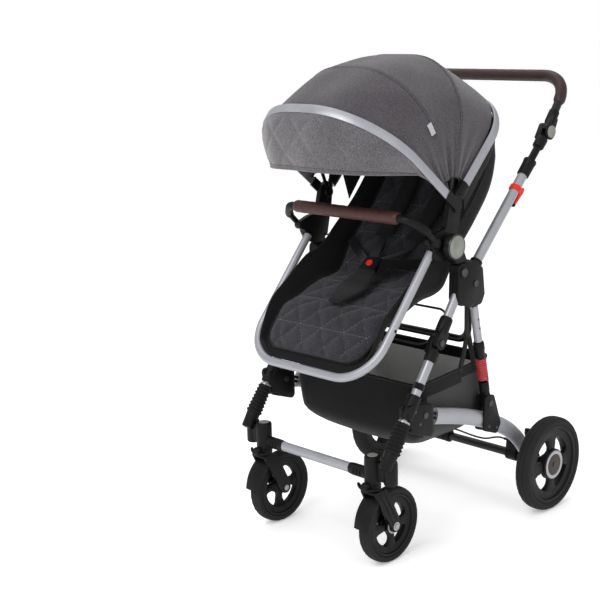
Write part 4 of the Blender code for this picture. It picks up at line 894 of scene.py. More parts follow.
        top = [[self.bm.verts.new(p) for p in row] for row in grid]
        low = [[self.bm.verts.new(grid[i][j] - normal(i, j) * thick) for j in range(cols)] for i in range(rows)]
        for made in (top, low):
            for i in range(rows - 1):
                for j in range(cols - 1):
                    quad = (made[i][j], made[i + 1][j], made[i + 1][j + 1], made[i][j + 1])
                    self.bm.faces.new(quad).material_index = slot
        edge = [(i, 0) for i in range(rows)] + [(rows - 1, j) for j in range(1, cols)]
        edge += [(i, cols - 1) for i in range(rows - 2, -1, -1)] + [(0, j) for j in range(cols - 2, 0, -1)]
        for (i, j), (m, n) in zip(edge, edge[1:] + edge[:1]):
            self.bm.faces.new((top[i][j], top[m][n], low[m][n], low[i][j])).material_index = slot

    def pin(self, centre: Vector, side: int, first: float, last: float, slot: int) -> None:
        """A cross pin with a flat head inside and a dished head outside.

        Args:
            centre: point on the axis.
            side: side of the pram that it faces.
            first: its face inside.
            last: its face outside.
            slot: number of the finish.
        """
        self.lathe(centre, (side, 0, 0), [(first - 0.003, 0.006), (first - 0.0023, 0.0075), (first, 0.0075),
            (first, 0.004), (last, 0.004), (last, 0.008), (last + 0.0018, 0.0079), (last + 0.0027, 0.0064),
            (last + 0.0025, 0.0036), (last + 0.0018, 0.0004)], 32, slot)

    def rivet(self, centre: Vector, side: int, slot: int) -> None:
        """A domed rivet head."""
        self.lathe(centre, (side, 0, 0), mm((-1, 4.2), (0.6, 4.2), (1.4, 3.4), (1.8, 1.8), (1.9, 0.3)), 24, slot)

    def cheeks(self, outline: Sequence[Side2], side: Side, near: float, far: float, ease: float,
            slot: int = 0) -> None:
        """A pair of plates on both sides of a frame tube.

        Args:
            outline: side view outline of the plates.
            side: side of the pram.
            near: distance from the tube's middle to the plates' inner faces.
            far: distance to their outer faces.
            ease: size of the eased edges.
            slot: number of the finish.
        """
        for x0, x1 in ((near, far), (-far, -near)):
            self.slab(outline, side * (SIDE_X + x0), side * (SIDE_X + x1), ease, slot)

    def stitches(self, points: Sequence[Vector], slot: int = 1) -> None:
        """Dashes of thread, each over two spans of a line with one span between."""
        for i in range(0, len(points) - 2, 3):
            self.tube([points[i], points[i + 2]], 0.0004, 5, slot)

    def mirror(self) -> None:
        """Add the mirror image across the middle of the pram."""
        copy = bmesh.ops.duplicate(self.bm, geom=self.bm.verts[:] + self.bm.edges[:] + self.bm.faces[:])
        for item in copy["geom"]:
            if isinstance(item, bmesh.types.BMVert):
                item.co.x = -item.co.x

    def turn_out(self) -> None:
        """Turn the faces of every shell outwards."""
        bmesh.ops.recalc_face_normals(self.bm, faces=self.bm.faces[:])
        left = set(self.bm.faces)
        while left:
            shell = [left.pop()]
            for face in shell:
                for edge in face.edges:
                    for other in edge.link_faces:
                        if other in left:
                            left.remove(other)
                            shell.append(other)
            volume = 0.0
            for face in shell:
                first = face.verts[0].co
                for one, two in zip(face.verts[1:], face.verts[2:]):
                    volume += first.dot(one.co.cross(two.co))
            if volume < 0:
                bmesh.ops.reverse_faces(self.bm, faces=shell)

    def make(self, name: str, body: str | None, looks: Sequence[Look], nodes: Sequence[str] = (),
            sharp: float = 38.0) -> bpy.types.Object:
        """Finish the mesh as one piece.

        Args:
            name: the piece's name.
            body: the body that it rides on, or None where it rides on none.
            looks: finishes, in the order of their numbers.
            nodes: solids of the CAD model that it stands for, taken from a name that ends in dressed.
            sharp: angle in degrees above which an edge stays crisp.

        Returns:
            The new object.
        """
        self.turn_out()
        mesh = bpy.data.meshes.new(name)
        self.bm.to_mesh(mesh)
        self.bm.free()
        mesh.shade_smooth()
        mesh.set_sharp_from_angle(angle=math.radians(sharp))
        for look in looks:
            mesh.materials.append(look.value.material())
        made = bpy.data.objects.new(name, mesh)
        bpy.context.scene.collection.objects.link(made)
        if body:
            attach(made, body)
        if name.endswith("_dressed"):
            nodes = [name.removesuffix("_dressed")]
        if nodes:
            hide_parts(*nodes)
        LOG.info("%s: %d faces on %s", name, len(mesh.polygons), body)
        return made


# Wheels and casters

@dataclass
class Wheel:
    """One spoked wheel: tyre, rim and hub cap."""

    end: str
    side: Side
    x: float
    centre: Side2
    radius: float
    rim: float
    width: float
    hub: float
    spokes: int
    cap: float

    def build(self) -> None:
        """Make the three pieces on the wheel's body."""
        body = f"{self.end}_wheel_{self.side.label}"
        self.tyre().make(f"{self.end}_tyre_{self.side.label}_dressed", body, [Look.TYRE])
        self.rim_and_spokes().make(f"{self.end}_rim_{self.side.label}_dressed", body, [Look.BLACK])
        self.hub_cap().make(f"{self.end}_hub_cap_{self.side.label}", body, [Look.CAP, Look.BOLT])

    def place(self) -> Vector:
        """Middle of the wheel."""
        return at(self.side * self.x, self.centre)

    def tyre(self) -> Draft:
        """Round tread with two grooves and cross cuts at its shoulders.

        Returns:
            The unfinished mesh.
        """
        draft = Draft()
        half = self.width / 2
        deep = self.radius - self.rim
        side = [(0.78, 0.0), (0.95, 0.14), (1.0, 0.36), (0.985, 0.56), (0.93, 0.72), (0.9, 0.735), (0.88, 0.79),
            (0.72, 0.9), (0.5, 0.968), (0.33, 0.988), (0.3, 0.93), (0.25, 0.93), (0.22, 0.996), (0.0, 1.0)]
        profile = [(half * w, self.rim + deep * h) for w, h in side]
        profile += [(-half * w, self.rim + deep * h) for w, h in reversed(side[:-1])]
        centre = self.place()
        count = 120
        rings = []
        for d, r in profile:
            ring = []
            for k in range(count):
                t = 2 * math.pi * k / count
                cut = 0.0011 if k % 4 == 0 and 0.5 < abs(d) / half < 0.9 and r > self.rim + deep * 0.7 else 0.0
                ring.append(centre + Vector((d, math.cos(t) * (r - cut), math.sin(t) * (r - cut))))
            rings.append(ring)
        draft.skin(rings, closed=True)
        return draft

    def rim_and_spokes(self) -> Draft:
        """Bored hub, outer band with lips and bowed spokes.

        Returns:
            The unfinished mesh.
        """
        draft = Draft()
        centre = self.place()
        half = self.width * 0.42
        band = self.rim * 0.715
        side = [(0.3, -0.002), (0.62, 0.0), (0.66, 0.004), (0.74, (self.rim - band) * 0.62),
            (1.0, (self.rim - band) * 0.7)]
        section = [(half * w, band + h) for w, h in side] + [(half, self.rim - 0.0004), (-half, self.rim - 0.0004)]
        section += [(-half * w, band + h) for w, h in reversed(side)]
        draft.lathe(centre, X_AXIS, section, 96, closed=True)
        bore = 0.0066 if self.end == "rear" else 0.0045
        outer = max(self.hub, self.cap * 1.08)
        hub = [(half * 1.05, bore), (half * 1.05, outer * 0.94), (half * 0.98, outer), (half * 0.2, outer),
            (0, self.hub), (-half * 0.9, self.hub), (-half * 1.05, self.hub * 0.9), (-half * 1.05, bore)]
        hub = hub if self.side > 0 else [(-d, r) for d, r in reversed(hub)]
        draft.lathe(centre, X_AXIS, hub, 48, closed=True)
        for i in range(self.spokes):
            turn = 2 * math.pi * i / self.spokes
            rings = []
            for step in range(9):
                share = step / 8
                r = self.hub * 0.8 + (band + 0.002 - self.hub * 0.8) * share
                root = 0.4 * self.hub
                wide = root + (self.rim * 0.19 - root) * share + self.hub * 0.5 * (1 - fair(share * 2.5))
                wide += self.rim * 0.1 * fair((share - 0.75) * 4)
                bow = self.side * half * 0.42 * math.sin(math.pi * share)
                thick = half * (0.62 - 0.28 * math.sin(math.pi * share))
                out = Vector((0, math.cos(turn), math.sin(turn)))
                flat = Vector((0, -math.sin(turn), math.cos(turn)))
                ring = []
                for a, b in ((1, 0.72), (0.8, 1), (-0.8, 1), (-1, 0.72), (-1, -0.72), (-0.8, -1), (0.8, -1),
                        (1, -0.72)):
                    ring.append(centre + out * r + flat * (wide * a) + Vector((bow + thick * b, 0, 0)))
                rings.append(ring)
            draft.skin(rings)
        return draft

    def hub_cap(self) -> Draft:
        """Round cap with a bright ring round its button.

        Returns:
            The unfinished mesh.
        """
        draft = Draft()
        axis = (self.side, 0, 0)
        face = self.width * 0.42 * 1.05
        c = self.cap
        draft.lathe(self.place(), axis, [(face - 0.003, c * 0.72), (face + 0.001, c * 0.74),
            (face + 0.0016, c * 0.68), (face + 0.0012, 0.0006)], 48)
        draft.lathe(self.place(), axis, [(face - 0.003, c * 0.98), (face + 0.0016, c * 0.98),
            (face + 0.0024, c * 0.93), (face + 0.0024, c * 0.79), (face + 0.0016, c * 0.745),
            (face - 0.003, c * 0.745)], 48, 1, closed=True)
        return draft


@dataclass
class Casters:
    """Sprung carriage with its crossbar, two swivel forks, locks and front wheels."""

    swivel: Side2 = (-0.565, 0.181)
    housing: float = 0.0195
    low: float = 0.195
    top: float = 0.2745
    wheel: Side2 = (-0.514, 0.0913)
    wheel_x: float = 0.1838
    wheel_radius: float = 0.0913
    tyre_width: float = 0.0325

    def build(self) -> None:
        """Make the carriage, then each side."""
        self.crossbar()
        self.carriage()
        for side in Side:
            self.fork(side)
            self.lock(side)
            Wheel("front", side, self.wheel_x, self.wheel, self.wheel_radius, 0.076, self.tyre_width, 0.014, 4,
                0.02).build()

    def crossbar(self) -> None:
        """Flat oval silver tube between the casters."""
        draft = Draft()
        y, x = self.swivel
        path = [spot(-x * 0.9 + 2 * x * 0.9 * i / 12, y, 0.227) for i in range(13)]
        draft.tube(path, 0.0095, 28, across=Y_AXIS, deep=1.3)
        draft.make("caster_crossbar", "caster_carriage", [Look.TUBE])

    def carriage(self) -> None:
        """Black housings, sleeves and the sockets of the legs, with light caps on the swivels."""
        draft = Draft()
        y, x = self.swivel
        h = self.housing
        centre = spot(x, y, 0)
        draft.lathe(centre, Z_AXIS, [(self.low, 0.007), (self.low, h - 0.0015), (self.low + 0.0015, h),
            (self.low + 0.01, h), (self.low + 0.011, h - 0.0012), (self.low + 0.013, h - 0.0012),
            (self.low + 0.014, h), (self.top - 0.004, h), (self.top - 0.0015, h - 0.0012), (self.top, h - 0.004),
            (self.top, 0.0005)], 44)
        draft.lathe(centre, Z_AXIS, [(self.top - 0.001, 0.0125), (self.top + 0.0008, 0.0125),
            (self.top + 0.0014, 0.0118), (self.top + 0.0016, 0.0006)], 40, 1)
        block = spot(SIDE_X, -0.557, 0)
        draft.lathe(block, Z_AXIS, mm((211, 12), (212, 14.8), (214.5, 16.5), (262, 16.5), (268, 15), (269, 10)), 36)
        draft.slab(mm((-570, 218), (-549, 218), (-549, 262), (-570, 262)), x + 0.004, SIDE_X, 0.003)
        foot = at(SIDE_X, LINES.leg_top)
        draft.lathe(foot, in3(LINES.leg), mm((437, 15), (438, 16.8), (442, 17.2), (445, 16.5), (474, 15.5),
            (477, 13)), 36)
        path = [Vector((0.112 + (x - 0.116) * i / 6, y + AXLE_Y, 0.227)) for i in range(7)]
        draft.tube(path, lambda s: 0.0108 + 0.0012 * fair(s * 6), 28, across=Y_AXIS, deep=1.24)
        for turn in (0.3, 0.55, 0.8):
            draft.lathe(spot(0.118 + turn * 0.04, y, 0.227), X_AXIS, mm((-1.2, 13.6), (0, 14.2), (1.2, 13.6)), 28)
        draft.mirror()
        draft.make("caster_carriage_dressed", "caster_carriage", [Look.BLACK, Look.GREY])

    def fork(self, side: Side) -> None:
        """Crown, ribbed arms, mudguard and the bright axle bolt with its arc ring.

        Args:
            side: side of the pram.
        """
        draft = Draft()
        y, x = self.swivel
        swivel = spot(side * x, y, 0)
        hub = side * self.wheel_x
        half = self.tyre_width / 2 + 0.0022
        draft.lathe(swivel, Z_AXIS, mm((184.5, 15), (185.5, 17.5), (193.5, 18.6), (194.7, 18), (194.7, 5), (250, 5)),
            40)
        outline = soft_outline(mm((-588, 194), (-547, 194), (-519, 142), (-500, 104), (-498, 86), (-508, 76),
            (-522, 78), (-534, 98), (-566, 150)), 0.006, 3)
        for x0 in (hub + half, hub - half - 0.006):
            draft.slab(outline, x0, x0 + 0.006, 0.0012)
        outer = hub + half + 0.006 if side > 0 else hub - half - 0.006
        for line in (mm((-570, 186), (-548, 150), (-526, 104)), mm((-556, 188), (-532, 146), (-512, 108))):
            path = rounded([at(outer, p) for p in line], 0.05, 5)
            draft.tube(path, lambda s: 0.0021 * min(1.0, 0.45 + 4 * s, 0.45 + 4 * (1 - s)), 10)
        crown = soft_outline(mm((-586, 184.5), (-549, 184.5), (-552, 193.5), (-582, 193.5)), 0.002, 2)
        draft.slab(crown, hub - half - 0.004, hub + half + 0.004, 0.0014)
        rings = []
        for i in range(17):
            angle = math.radians(122 + 50 * i / 16)
            direction = (math.cos(angle), math.sin(angle))
            wide = half + 0.0062 - 0.0022 * fair((i - 8) / 8)
            ring = []
            for s in (-1, -0.96, -0.6, 0, 0.6, 0.96, 1):
                lift = 0.0055 + 0.0022 * (1 - s * s)
                ring.append(at(hub + s * wide, along(self.wheel, direction, self.wheel_radius + lift)))
            for s in (1, 0.6, 0, -0.6, -1):
                lift = 0.003 + 0.0022 * (1 - s * s)
                ring.append(at(hub + s * wide * 0.97, along(self.wheel, direction, self.wheel_radius + lift)))
            rings.append(ring)
        draft.skin(rings)
        centre = at(hub, self.wheel)
        out = (side, 0, 0)
        reach = half + 0.006
        draft.lathe(centre, X_AXIS, [(-reach, 0.004), (reach, 0.004)], 20, 1)
        draft.lathe(centre, out, [(reach - 0.0005, 0.0105), (reach + 0.0008, 0.0105), (reach + 0.0012, 0.0098),
            (reach + 0.0012, 0.0065), (reach + 0.003, 0.0062), (reach + 0.0036, 0.0052), (reach + 0.0036, 0.0005)],
            36, 1)
        draft.lathe(centre, (-side, 0, 0), [(reach - 0.0005, 0.008), (reach + 0.0018, 0.0078),
            (reach + 0.0024, 0.0068), (reach + 0.0024, 0.0005)], 6, 1)
        draft.make(f"front_fork_{side.label}_dressed", f"front_fork_{side.label}", [Look.BLACK, Look.BOLT])

    def lock(self, side: Side) -> None:
        """Small grey tab on the front of the housing.

        Args:
            side: side of the pram.
        """
        draft = Draft()
        y = self.swivel[0] - self.housing
        x = side * self.swivel[1]
        outline = soft_outline([(y - 0.0005, 0.214), (y - 0.0095, 0.211), (y - 0.0145, 0.1975), (y - 0.0005, 0.196)],
            0.0025, 4)
        draft.slab(outline, x - 0.009, x + 0.009, 0.0016)
        wing = [Vector((x + 0.034 * s / 8, y + AXLE_Y - 0.006 + 0.013 * (s / 8) ** 2,
            0.1985 + 0.004 * (s / 8) ** 2)) for s in range(-8, 9)]
        draft.tube(wing, lambda s: 0.0012 + 0.0022 * math.sin(math.pi * s), 12, across=Z_AXIS, deep=2.4)
        draft.make(f"swivel_lock_{side.label}_dressed", f"swivel_lock_{side.label}", [Look.BLACK])


@dataclass
class Chassis:
    """Front legs with their knees and brackets, side rails, rear axle with its brake, and the rear wheels."""

    rail_pivot: Side2 = (-0.4507, 0.3548)
    wheel_z: float = 0.122
    track: float = 0.28
    tyre_width: float = 0.04

    def build(self) -> None:
        """Make the pieces from the front to the back."""
        for side in Side:
            self.lower_leg(side)
            self.bracket(side)
            self.bellows(side)
            self.rail(side)
            Wheel("rear", side, self.track, (0.0, self.wheel_z), self.wheel_z, 0.102, self.tyre_width, 0.02, 4,
                0.0375).build()
        self.axle()
        self.pedal()
        self.cable()

    def leg(self, distance: float) -> Side2:
        """A point down the front leg's line."""
        return along(LINES.leg_top, LINES.leg, distance)

    def lower_leg(self, side: Side) -> None:
        """Silver tube and rod with the black lower half of the knee on a bright pin.

        Args:
            side: side of the pram.
        """
        draft = Draft()
        top = at(side * SIDE_X, LINES.leg_top)
        axis = in3(LINES.leg)
        draft.lathe(top, axis, mm((201, 11.2), (352, 11.2), (352, 7), (465.5, 7), (465.5, 1)), 36)
        draft.lathe(top, axis, mm((345, 12.5), (346, 13.2), (351, 13.2), (352, 12.5)), 36)
        draft.lathe(top, axis, mm((178, 15), (180, 15.8), (194, 15.8), (199, 15.5), (205, 14), (205, 10)), 36, 1)
        across = square(LINES.leg)
        foot = self.leg(0.188)
        r = 0.021
        outline = [along(along(LINES.knee, across, s * r * 0.84), LINES.leg, -d) for s, d in KNEE_EYE]
        outline += [along(foot, across, 0.0135), along(foot, across, -0.0135)]
        inner, outer = side * (SIDE_X - 0.014), side * (SIDE_X - 0.0003)
        draft.slab(outline, inner, outer, 0.0016, 1)
        draft.pin(at(side * SIDE_X, LINES.knee), side, -0.0135, 0.0142, 2)
        draft.make(f"front_leg_{side.label}_dressed", "front_legs", [Look.TUBE, Look.BLACK, Look.PIN])

    def bracket(self, side: Side) -> None:
        """Black sleeve with two cheeks, rivets and the rail's bolt.

        Args:
            side: side of the pram.
        """
        draft = Draft()
        top = at(side * SIDE_X, LINES.leg_top)
        draft.lathe(top, in3(LINES.leg), mm((292, 15), (293.5, 16.2), (295.5, 16.5), (349, 16.5), (352, 15.2),
            (352, 11.4), (292, 11.4)), 36, closed=True)
        outline = soft_outline(mm((-513, 392), (-421, 376), (-421, 294), (-500, 322)), 0.011, 4)
        draft.cheeks(outline, side, 0.0052, 0.015, 0.0016)
        draft.pin(at(side * SIDE_X, self.rail_pivot), side, -0.015, 0.015, 1)
        for rivet in ((-0.487, 0.372), (-0.47, 0.338)):
            draft.rivet(at(side * (SIDE_X + 0.0148), rivet), side, 1)
        draft.make(f"front_bracket_{side.label}_dressed", "front_legs", [Look.BLACK, Look.PIN])

    def bellows(self, side: Side) -> None:
        """Ribbed rubber boot over the spring travel, held by a bright clip at its top.

        Args:
            side: side of the pram.
        """
        draft = Draft()
        top = at(side * SIDE_X, LINES.leg_top)
        axis = in3(LINES.leg)
        profile = [(0.3575, 0.0125)]
        ribs = 8
        first, last = 0.361, 0.4365
        for i in range(ribs * 6 + 1):
            share = i / (ribs * 6)
            wave = 0.5 - 0.5 * math.cos(2 * math.pi * ribs * share)
            profile.append((first + (last - first) * share, 0.0148 + 0.003 * share + 0.0032 * wave))
        profile += mm((438.5, 15), (438.5, 8), (357.5, 8))
        draft.lathe(top, axis, profile, 40, closed=True)
        made = draft.make(f"front_leg_bellows_{side.label}", None, [Look.BOOT])
        start = at(side * SIDE_X, self.leg(0.362))
        end = at(side * SIDE_X, self.leg(0.436))
        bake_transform(made)
        clip = Draft()
        clip.lathe(top, axis, mm((355.5, 12.7), (356, 14), (360, 15), (361, 15), (361, 12.8)), 40, closed=True)
        clip.make(f"bellows_clip_{side.label}", "front_legs", [Look.BOLT])

    def rail(self, side: Side) -> None:
        """Oval silver rail with its hooked eye and the bracket at the shock absorber's foot.

        Args:
            side: side of the pram.
        """
        draft = Draft()
        line = mm((-400, 338), (-300, 312), (-223, 286), (-162, 260), (-105, 228), (-62, 192), (-34, 158))
        x = side * SIDE_X
        path = [at(x, p) for p in spread(line, 40)]
        draft.tube(path, 0.01, 28, across=X_AXIS, deep=2.0)
        run = unit(line[0], line[1])
        across = square(run)
        end = along(line[0], run, 0.012)
        self.eye(draft, x, end, across)
        outline = soft_outline(mm((-222, 345), (-186, 343), (-156, 262), (-172, 238), (-226, 258)), 0.009, 4)
        draft.cheeks(outline, side, 0.0085, 0.0145, 0.0013, 1)
        draft.pin(at(x, LINES.rear_foot), side, -0.014, 0.014, 2)
        for rivet in ((-0.205, 0.265), (-0.174, 0.255)):
            draft.rivet(at(side * (SIDE_X + 0.0143), rivet), side, 2)
        draft.make(f"side_rail_{side.label}_dressed", "side_rails", [Look.TUBE, Look.BLACK, Look.PIN])

    def eye(self, draft: Draft, x: float, end: Side2, across: Side2) -> None:
        """The rail's open hook, as a curved bar round the bracket's pin.

        Args:
            draft: mesh to add to.
            x: middle of the rail.
            end: end of the rail.
            across: direction across the rail.
        """
        middle = 0.01165
        path = [at(x, along(end, across, 0.0035))]
        path += [at(x, along(self.rail_pivot, toward(a), middle)) for a in range(45, 196, 10)]
        draft.band(path, 0.0066, 0.0094, X_AXIS, 1)
        low = [at(x, along(end, across, -0.006)), at(x, along(self.rail_pivot, toward(-38), middle))]
        low += [at(x, along(self.rail_pivot, toward(-14), middle)), at(x, along(self.rail_pivot, toward(15), middle))]
        draft.band(low, 0.0066, 0.0094, X_AXIS, 1)

    def axle(self) -> None:
        """Black cross tube with clamps, brake housings, bolt heads and a bright pin."""
        draft = Draft()
        centre = at(0, (0.0, self.wheel_z))
        end = self.track - self.tyre_width / 2 - 0.0045
        tip = self.track + self.tyre_width / 2 + 0.0008
        draft.lathe(centre, X_AXIS, [(-tip, 0.006), (-end, 0.006), (-end, 0.0105), (-end + 0.001, 0.011),
            (end - 0.001, 0.011), (end, 0.0105), (end, 0.006), (tip, 0.006)], 36)
        neck = unit((-0.062, 0.192), (-0.034, 0.158))
        for side in Side:
            draft.lathe(at(side * SIDE_X, (0.0, self.wheel_z)), X_AXIS, mm((-14.5, 18), (-13, 19.5), (13, 19.5),
                (14.5, 18)), 40, 1)
            path = [at(side * SIDE_X, along((-0.034, 0.158), neck, 0.001 + 0.04 * i / 6)) for i in range(7)]
            draft.tube(path, lambda t: 0.0125 + 0.001 * fair(t * 4), 28, 1, X_AXIS, 1.6)
        for x0, x1, radius, top in ((0.155, 0.19, 0.018, 0.163), (-0.049, -0.035, 0.017, 0.152),
                (-0.2105, -0.1835, 0.018, 0.15)):
            draft.lathe(centre, X_AXIS, [(x0, radius - 0.002), (x0 + 0.002, radius), (x1 - 0.002, radius),
                (x1, radius - 0.002)], 36, 1)
            outline = soft_outline([(-0.014, self.wheel_z + 0.004), (0.014, self.wheel_z + 0.004), (0.01, top),
                (-0.01, top)], 0.003, 3)
            draft.slab(outline, x0 + 0.001, x1 - 0.001, 0.0014, 1)
        draft.lathe(Vector((0.1725, AXLE_Y - 0.006, 0.163)), Z_AXIS, mm((-4, 4.2), (2.2, 4.2), (3, 3.6), (3.2, 0.4)),
            24, 2)
        draft.slab(soft_outline(mm((-26, 192), (-12, 190), (-10, 206), (-24, 210)), 0.003, 3), SIDE_X - 0.006,
            SIDE_X + 0.006, 0.0012, 1)
        draft.slab(soft_outline(mm((-24, 150), (-12, 148), (-12, 196), (-24, 197)), 0.002, 2), SIDE_X - 0.005,
            SIDE_X + 0.005, 0.001, 1)
        draft.make("rear_axle_dressed", "side_rails", [Look.BLACK_STEEL, Look.BLACK, Look.BOLT])

    def pedal(self) -> None:
        """Brake pedal turning on the axle, with grip ribs on its pad."""
        draft = Draft()
        centre = at(0, (0.0, self.wheel_z))
        draft.lathe(centre, X_AXIS, mm((-180, 11.4), (-180, 15.5), (-179, 16.5), (-50.4, 16.5), (-49.4, 15.5),
            (-49.4, 11.4)), 36, closed=True)
        outline = soft_outline(mm((-8, 133.5), (4, 134.5), (46, 150), (46, 157), (10, 156), (-8, 146)), 0.004, 4)
        draft.slab(outline, -0.178, -0.052, 0.002)
        for i in range(9):
            x = -0.168 + 0.0132 * i
            draft.tube([Vector((x, AXLE_Y + 0.012, 0.156)), Vector((x, AXLE_Y + 0.042, 0.157))], 0.0016, 10)
        draft.make("brake_pedal_dressed", "brake_pedal", [Look.BLACK])

    def cable(self) -> None:
        """Sheathed brake cable with a ferrule at each end."""
        draft = Draft()
        route = [(-0.0357, 0, 0.1455), (-0.01, 0.001, 0.1445), (0.03, 0.002, 0.1405), (0.06, 0.001, 0.14),
            (0.084, 0, 0.143), (0.11, 0, 0.152), (0.13, 0, 0.1565), (0.1557, 0, 0.1555)]
        path = flowing([spot(x, y, z) for x, y, z in route], 8)
        draft.tube(path, 0.0024, 16)
        for a, b in ((path[0], path[4]), (path[-1], path[-5])):
            draft.tube([a, b], 0.0034, 16)
        draft.make("brake_cable_dressed", "side_rails", [Look.BLACK])


# Upper frame, shock absorbers and handle

@dataclass
class UpperFrame:
    """Joints with the upper knees, handle uprights, crossbar under the seat, release buttons and fold levers."""

    release: Side2 = (-0.311, 0.668)

    def build(self) -> None:
        """Make each side, then the crossbar."""
        for side in Side:
            self.joint(side)
            self.upright(side)
            self.button(side)
            self.lever(side)
        self.crossbar()

    def joint(self, side: Side) -> None:
        """Two black cheeks, the silver upper leg tube and the upper half of the knee.

        Args:
            side: side of the pram.
        """
        draft = Draft()
        x = side * SIDE_X
        outline = soft_outline(mm((-328, 689.5), (-262, 689.5), (-236, 668), (-228, 603), (-240, 580), (-290, 580),
            (-331, 600)), 0.013, 5)
        draft.cheeks(outline, side, 0.0052, 0.015, 0.0022)
        heart = soft_outline(mm((-327, 688), (-263, 688), (-250, 660), (-284, 640), (-290, 584), (-329, 602)), 0.008,
            3)
        draft.slab(heart, side * (SIDE_X - 0.0056), side * (SIDE_X + 0.0056), 0.0008)
        top = at(x, LINES.leg_top)
        axis = in3(LINES.leg)
        draft.lathe(top, axis, [(0.03, 0.0112), (0.128, 0.0112)], 36, 1)
        draft.lathe(top, axis, mm((90.5, 11.4), (92, 14), (97, 15.5), (112, 15.8), (130, 15.8), (132, 15)), 36)
        across = square(LINES.leg)
        high = along(LINES.leg_top, LINES.leg, 0.122)
        r = 0.021
        outline = [along(high, across, 0.0135), along(high, across, -0.0135)]
        outline += [along(along(LINES.knee, across, s * r * 0.84), LINES.leg, d) for s, d in KNEE_EYE]
        draft.slab(outline, side * (SIDE_X + 0.0003), side * (SIDE_X + 0.014), 0.0016)
        draft.pin(at(x, LINES.rear_pivot), side, -0.015, 0.015, 2)
        draft.lathe(at(side * (SIDE_X + 0.015), self.release), (side, 0, 0),
            mm((-1, 11.2), (0.6, 13.8), (2.2, 13.8), (3, 13), (3, 11)), 36, closed=True)
        draft.make(f"upper_joint_{side.label}_dressed", "upper_frame", [Look.BLACK, Look.TUBE, Look.PIN])

    def upright(self, side: Side) -> None:
        """Silver handle tube with its black collar and flange.

        Args:
            side: side of the pram.
        """
        draft = Draft()
        start = at(side * SIDE_X, LINES.handle_foot)
        axis = in3(LINES.handle)
        draft.lathe(start, axis, mm((27, 9.9), (27, 12), (335, 12), (335, 9.9)), 36, closed=True)
        draft.lathe(start, axis, mm((26.2, 12.2), (27, 15), (30, 15.6), (40, 15), (41.5, 12.2)), 36, 1, closed=True)
        draft.lathe(start, axis, mm((297, 11.9), (297, 14.2), (299, 15.1), (335, 15.6), (336, 16.2), (341.5, 16.6),
            (343, 15.8), (343, 9.9), (336, 9.9), (336, 11.9)), 36, 1, closed=True)
        draft.make(f"handle_upright_{side.label}_dressed", "upper_frame", [Look.TUBE, Look.BLACK])

    def button(self, side: Side) -> None:
        """Dished silver release button.

        Args:
            side: side of the pram.
        """
        draft = Draft()
        draft.lathe(at(side * SIDE_X, self.release), (side, 0, 0), mm((10.5, 10.3), (18, 10.5), (19.2, 9.8),
            (19.5, 8.8), (19, 6.2), (18.6, 0.4)), 40)
        draft.make(f"release_button_{side.label}_dressed", f"release_button_{side.label}", [Look.PIN])

    def lever(self, side: Side) -> None:
        """Red ring with its finger lever and black tip.

        Args:
            side: side of the pram.
        """
        draft = Draft()
        x = side * SIDE_X
        start = at(x, LINES.handle_foot)
        draft.lathe(start, in3(LINES.handle), mm((249, 12.3), (249, 14.4), (250.5, 15.2), (260.5, 15.2), (262, 14.8),
            (262, 12.3)), 36, closed=True)
        back = (LINES.handle[1], -LINES.handle[0])

        def point(distance: float, out: float) -> Side2:
            """A place on the rear of the tube."""
            return along(along(LINES.handle_foot, LINES.handle, distance), back, out)

        outline = soft_outline([point(0.2185, 0.0185), point(0.222, 0.0132), point(0.268, 0.0128), point(0.276, 0.02),
            point(0.262, 0.0238)], 0.004, 4)
        draft.slab(outline, x - 0.009, x + 0.009, 0.002)
        tip = soft_outline([point(0.214, 0.019), point(0.2165, 0.0136), point(0.223, 0.0136), point(0.224, 0.0196)],
            0.0018, 3)
        draft.slab(tip, x - 0.0093, x + 0.0093, 0.0016, 1)
        draft.make(f"fold_lever_{side.label}_dressed", f"fold_lever_{side.label}", [Look.RED, Look.BLACK])

    def crossbar(self) -> None:
        """Black U tube with the wire hoop at its middle."""
        draft = Draft()
        x, y, low, top = 0.2052, -0.243 + AXLE_Y, 0.485, 0.612
        path = rounded([Vector((x, y, top)), Vector((x, y, low)), Vector((-x, y, low)), Vector((-x, y, top))], 0.03,
            10)
        draft.tube(path, 0.009, 24, across=Y_AXIS)
        hoop_path = rounded([Vector((-0.1, y, low)), Vector((-0.1, y, 0.55)), Vector((0.14, y, 0.55)),
            Vector((0.14, y, low))], 0.022, 8)
        draft.tube(hoop_path, 0.003, 14, across=Y_AXIS)
        draft.make("seat_crossbar_dressed", "upper_frame", [Look.BLACK_STEEL])


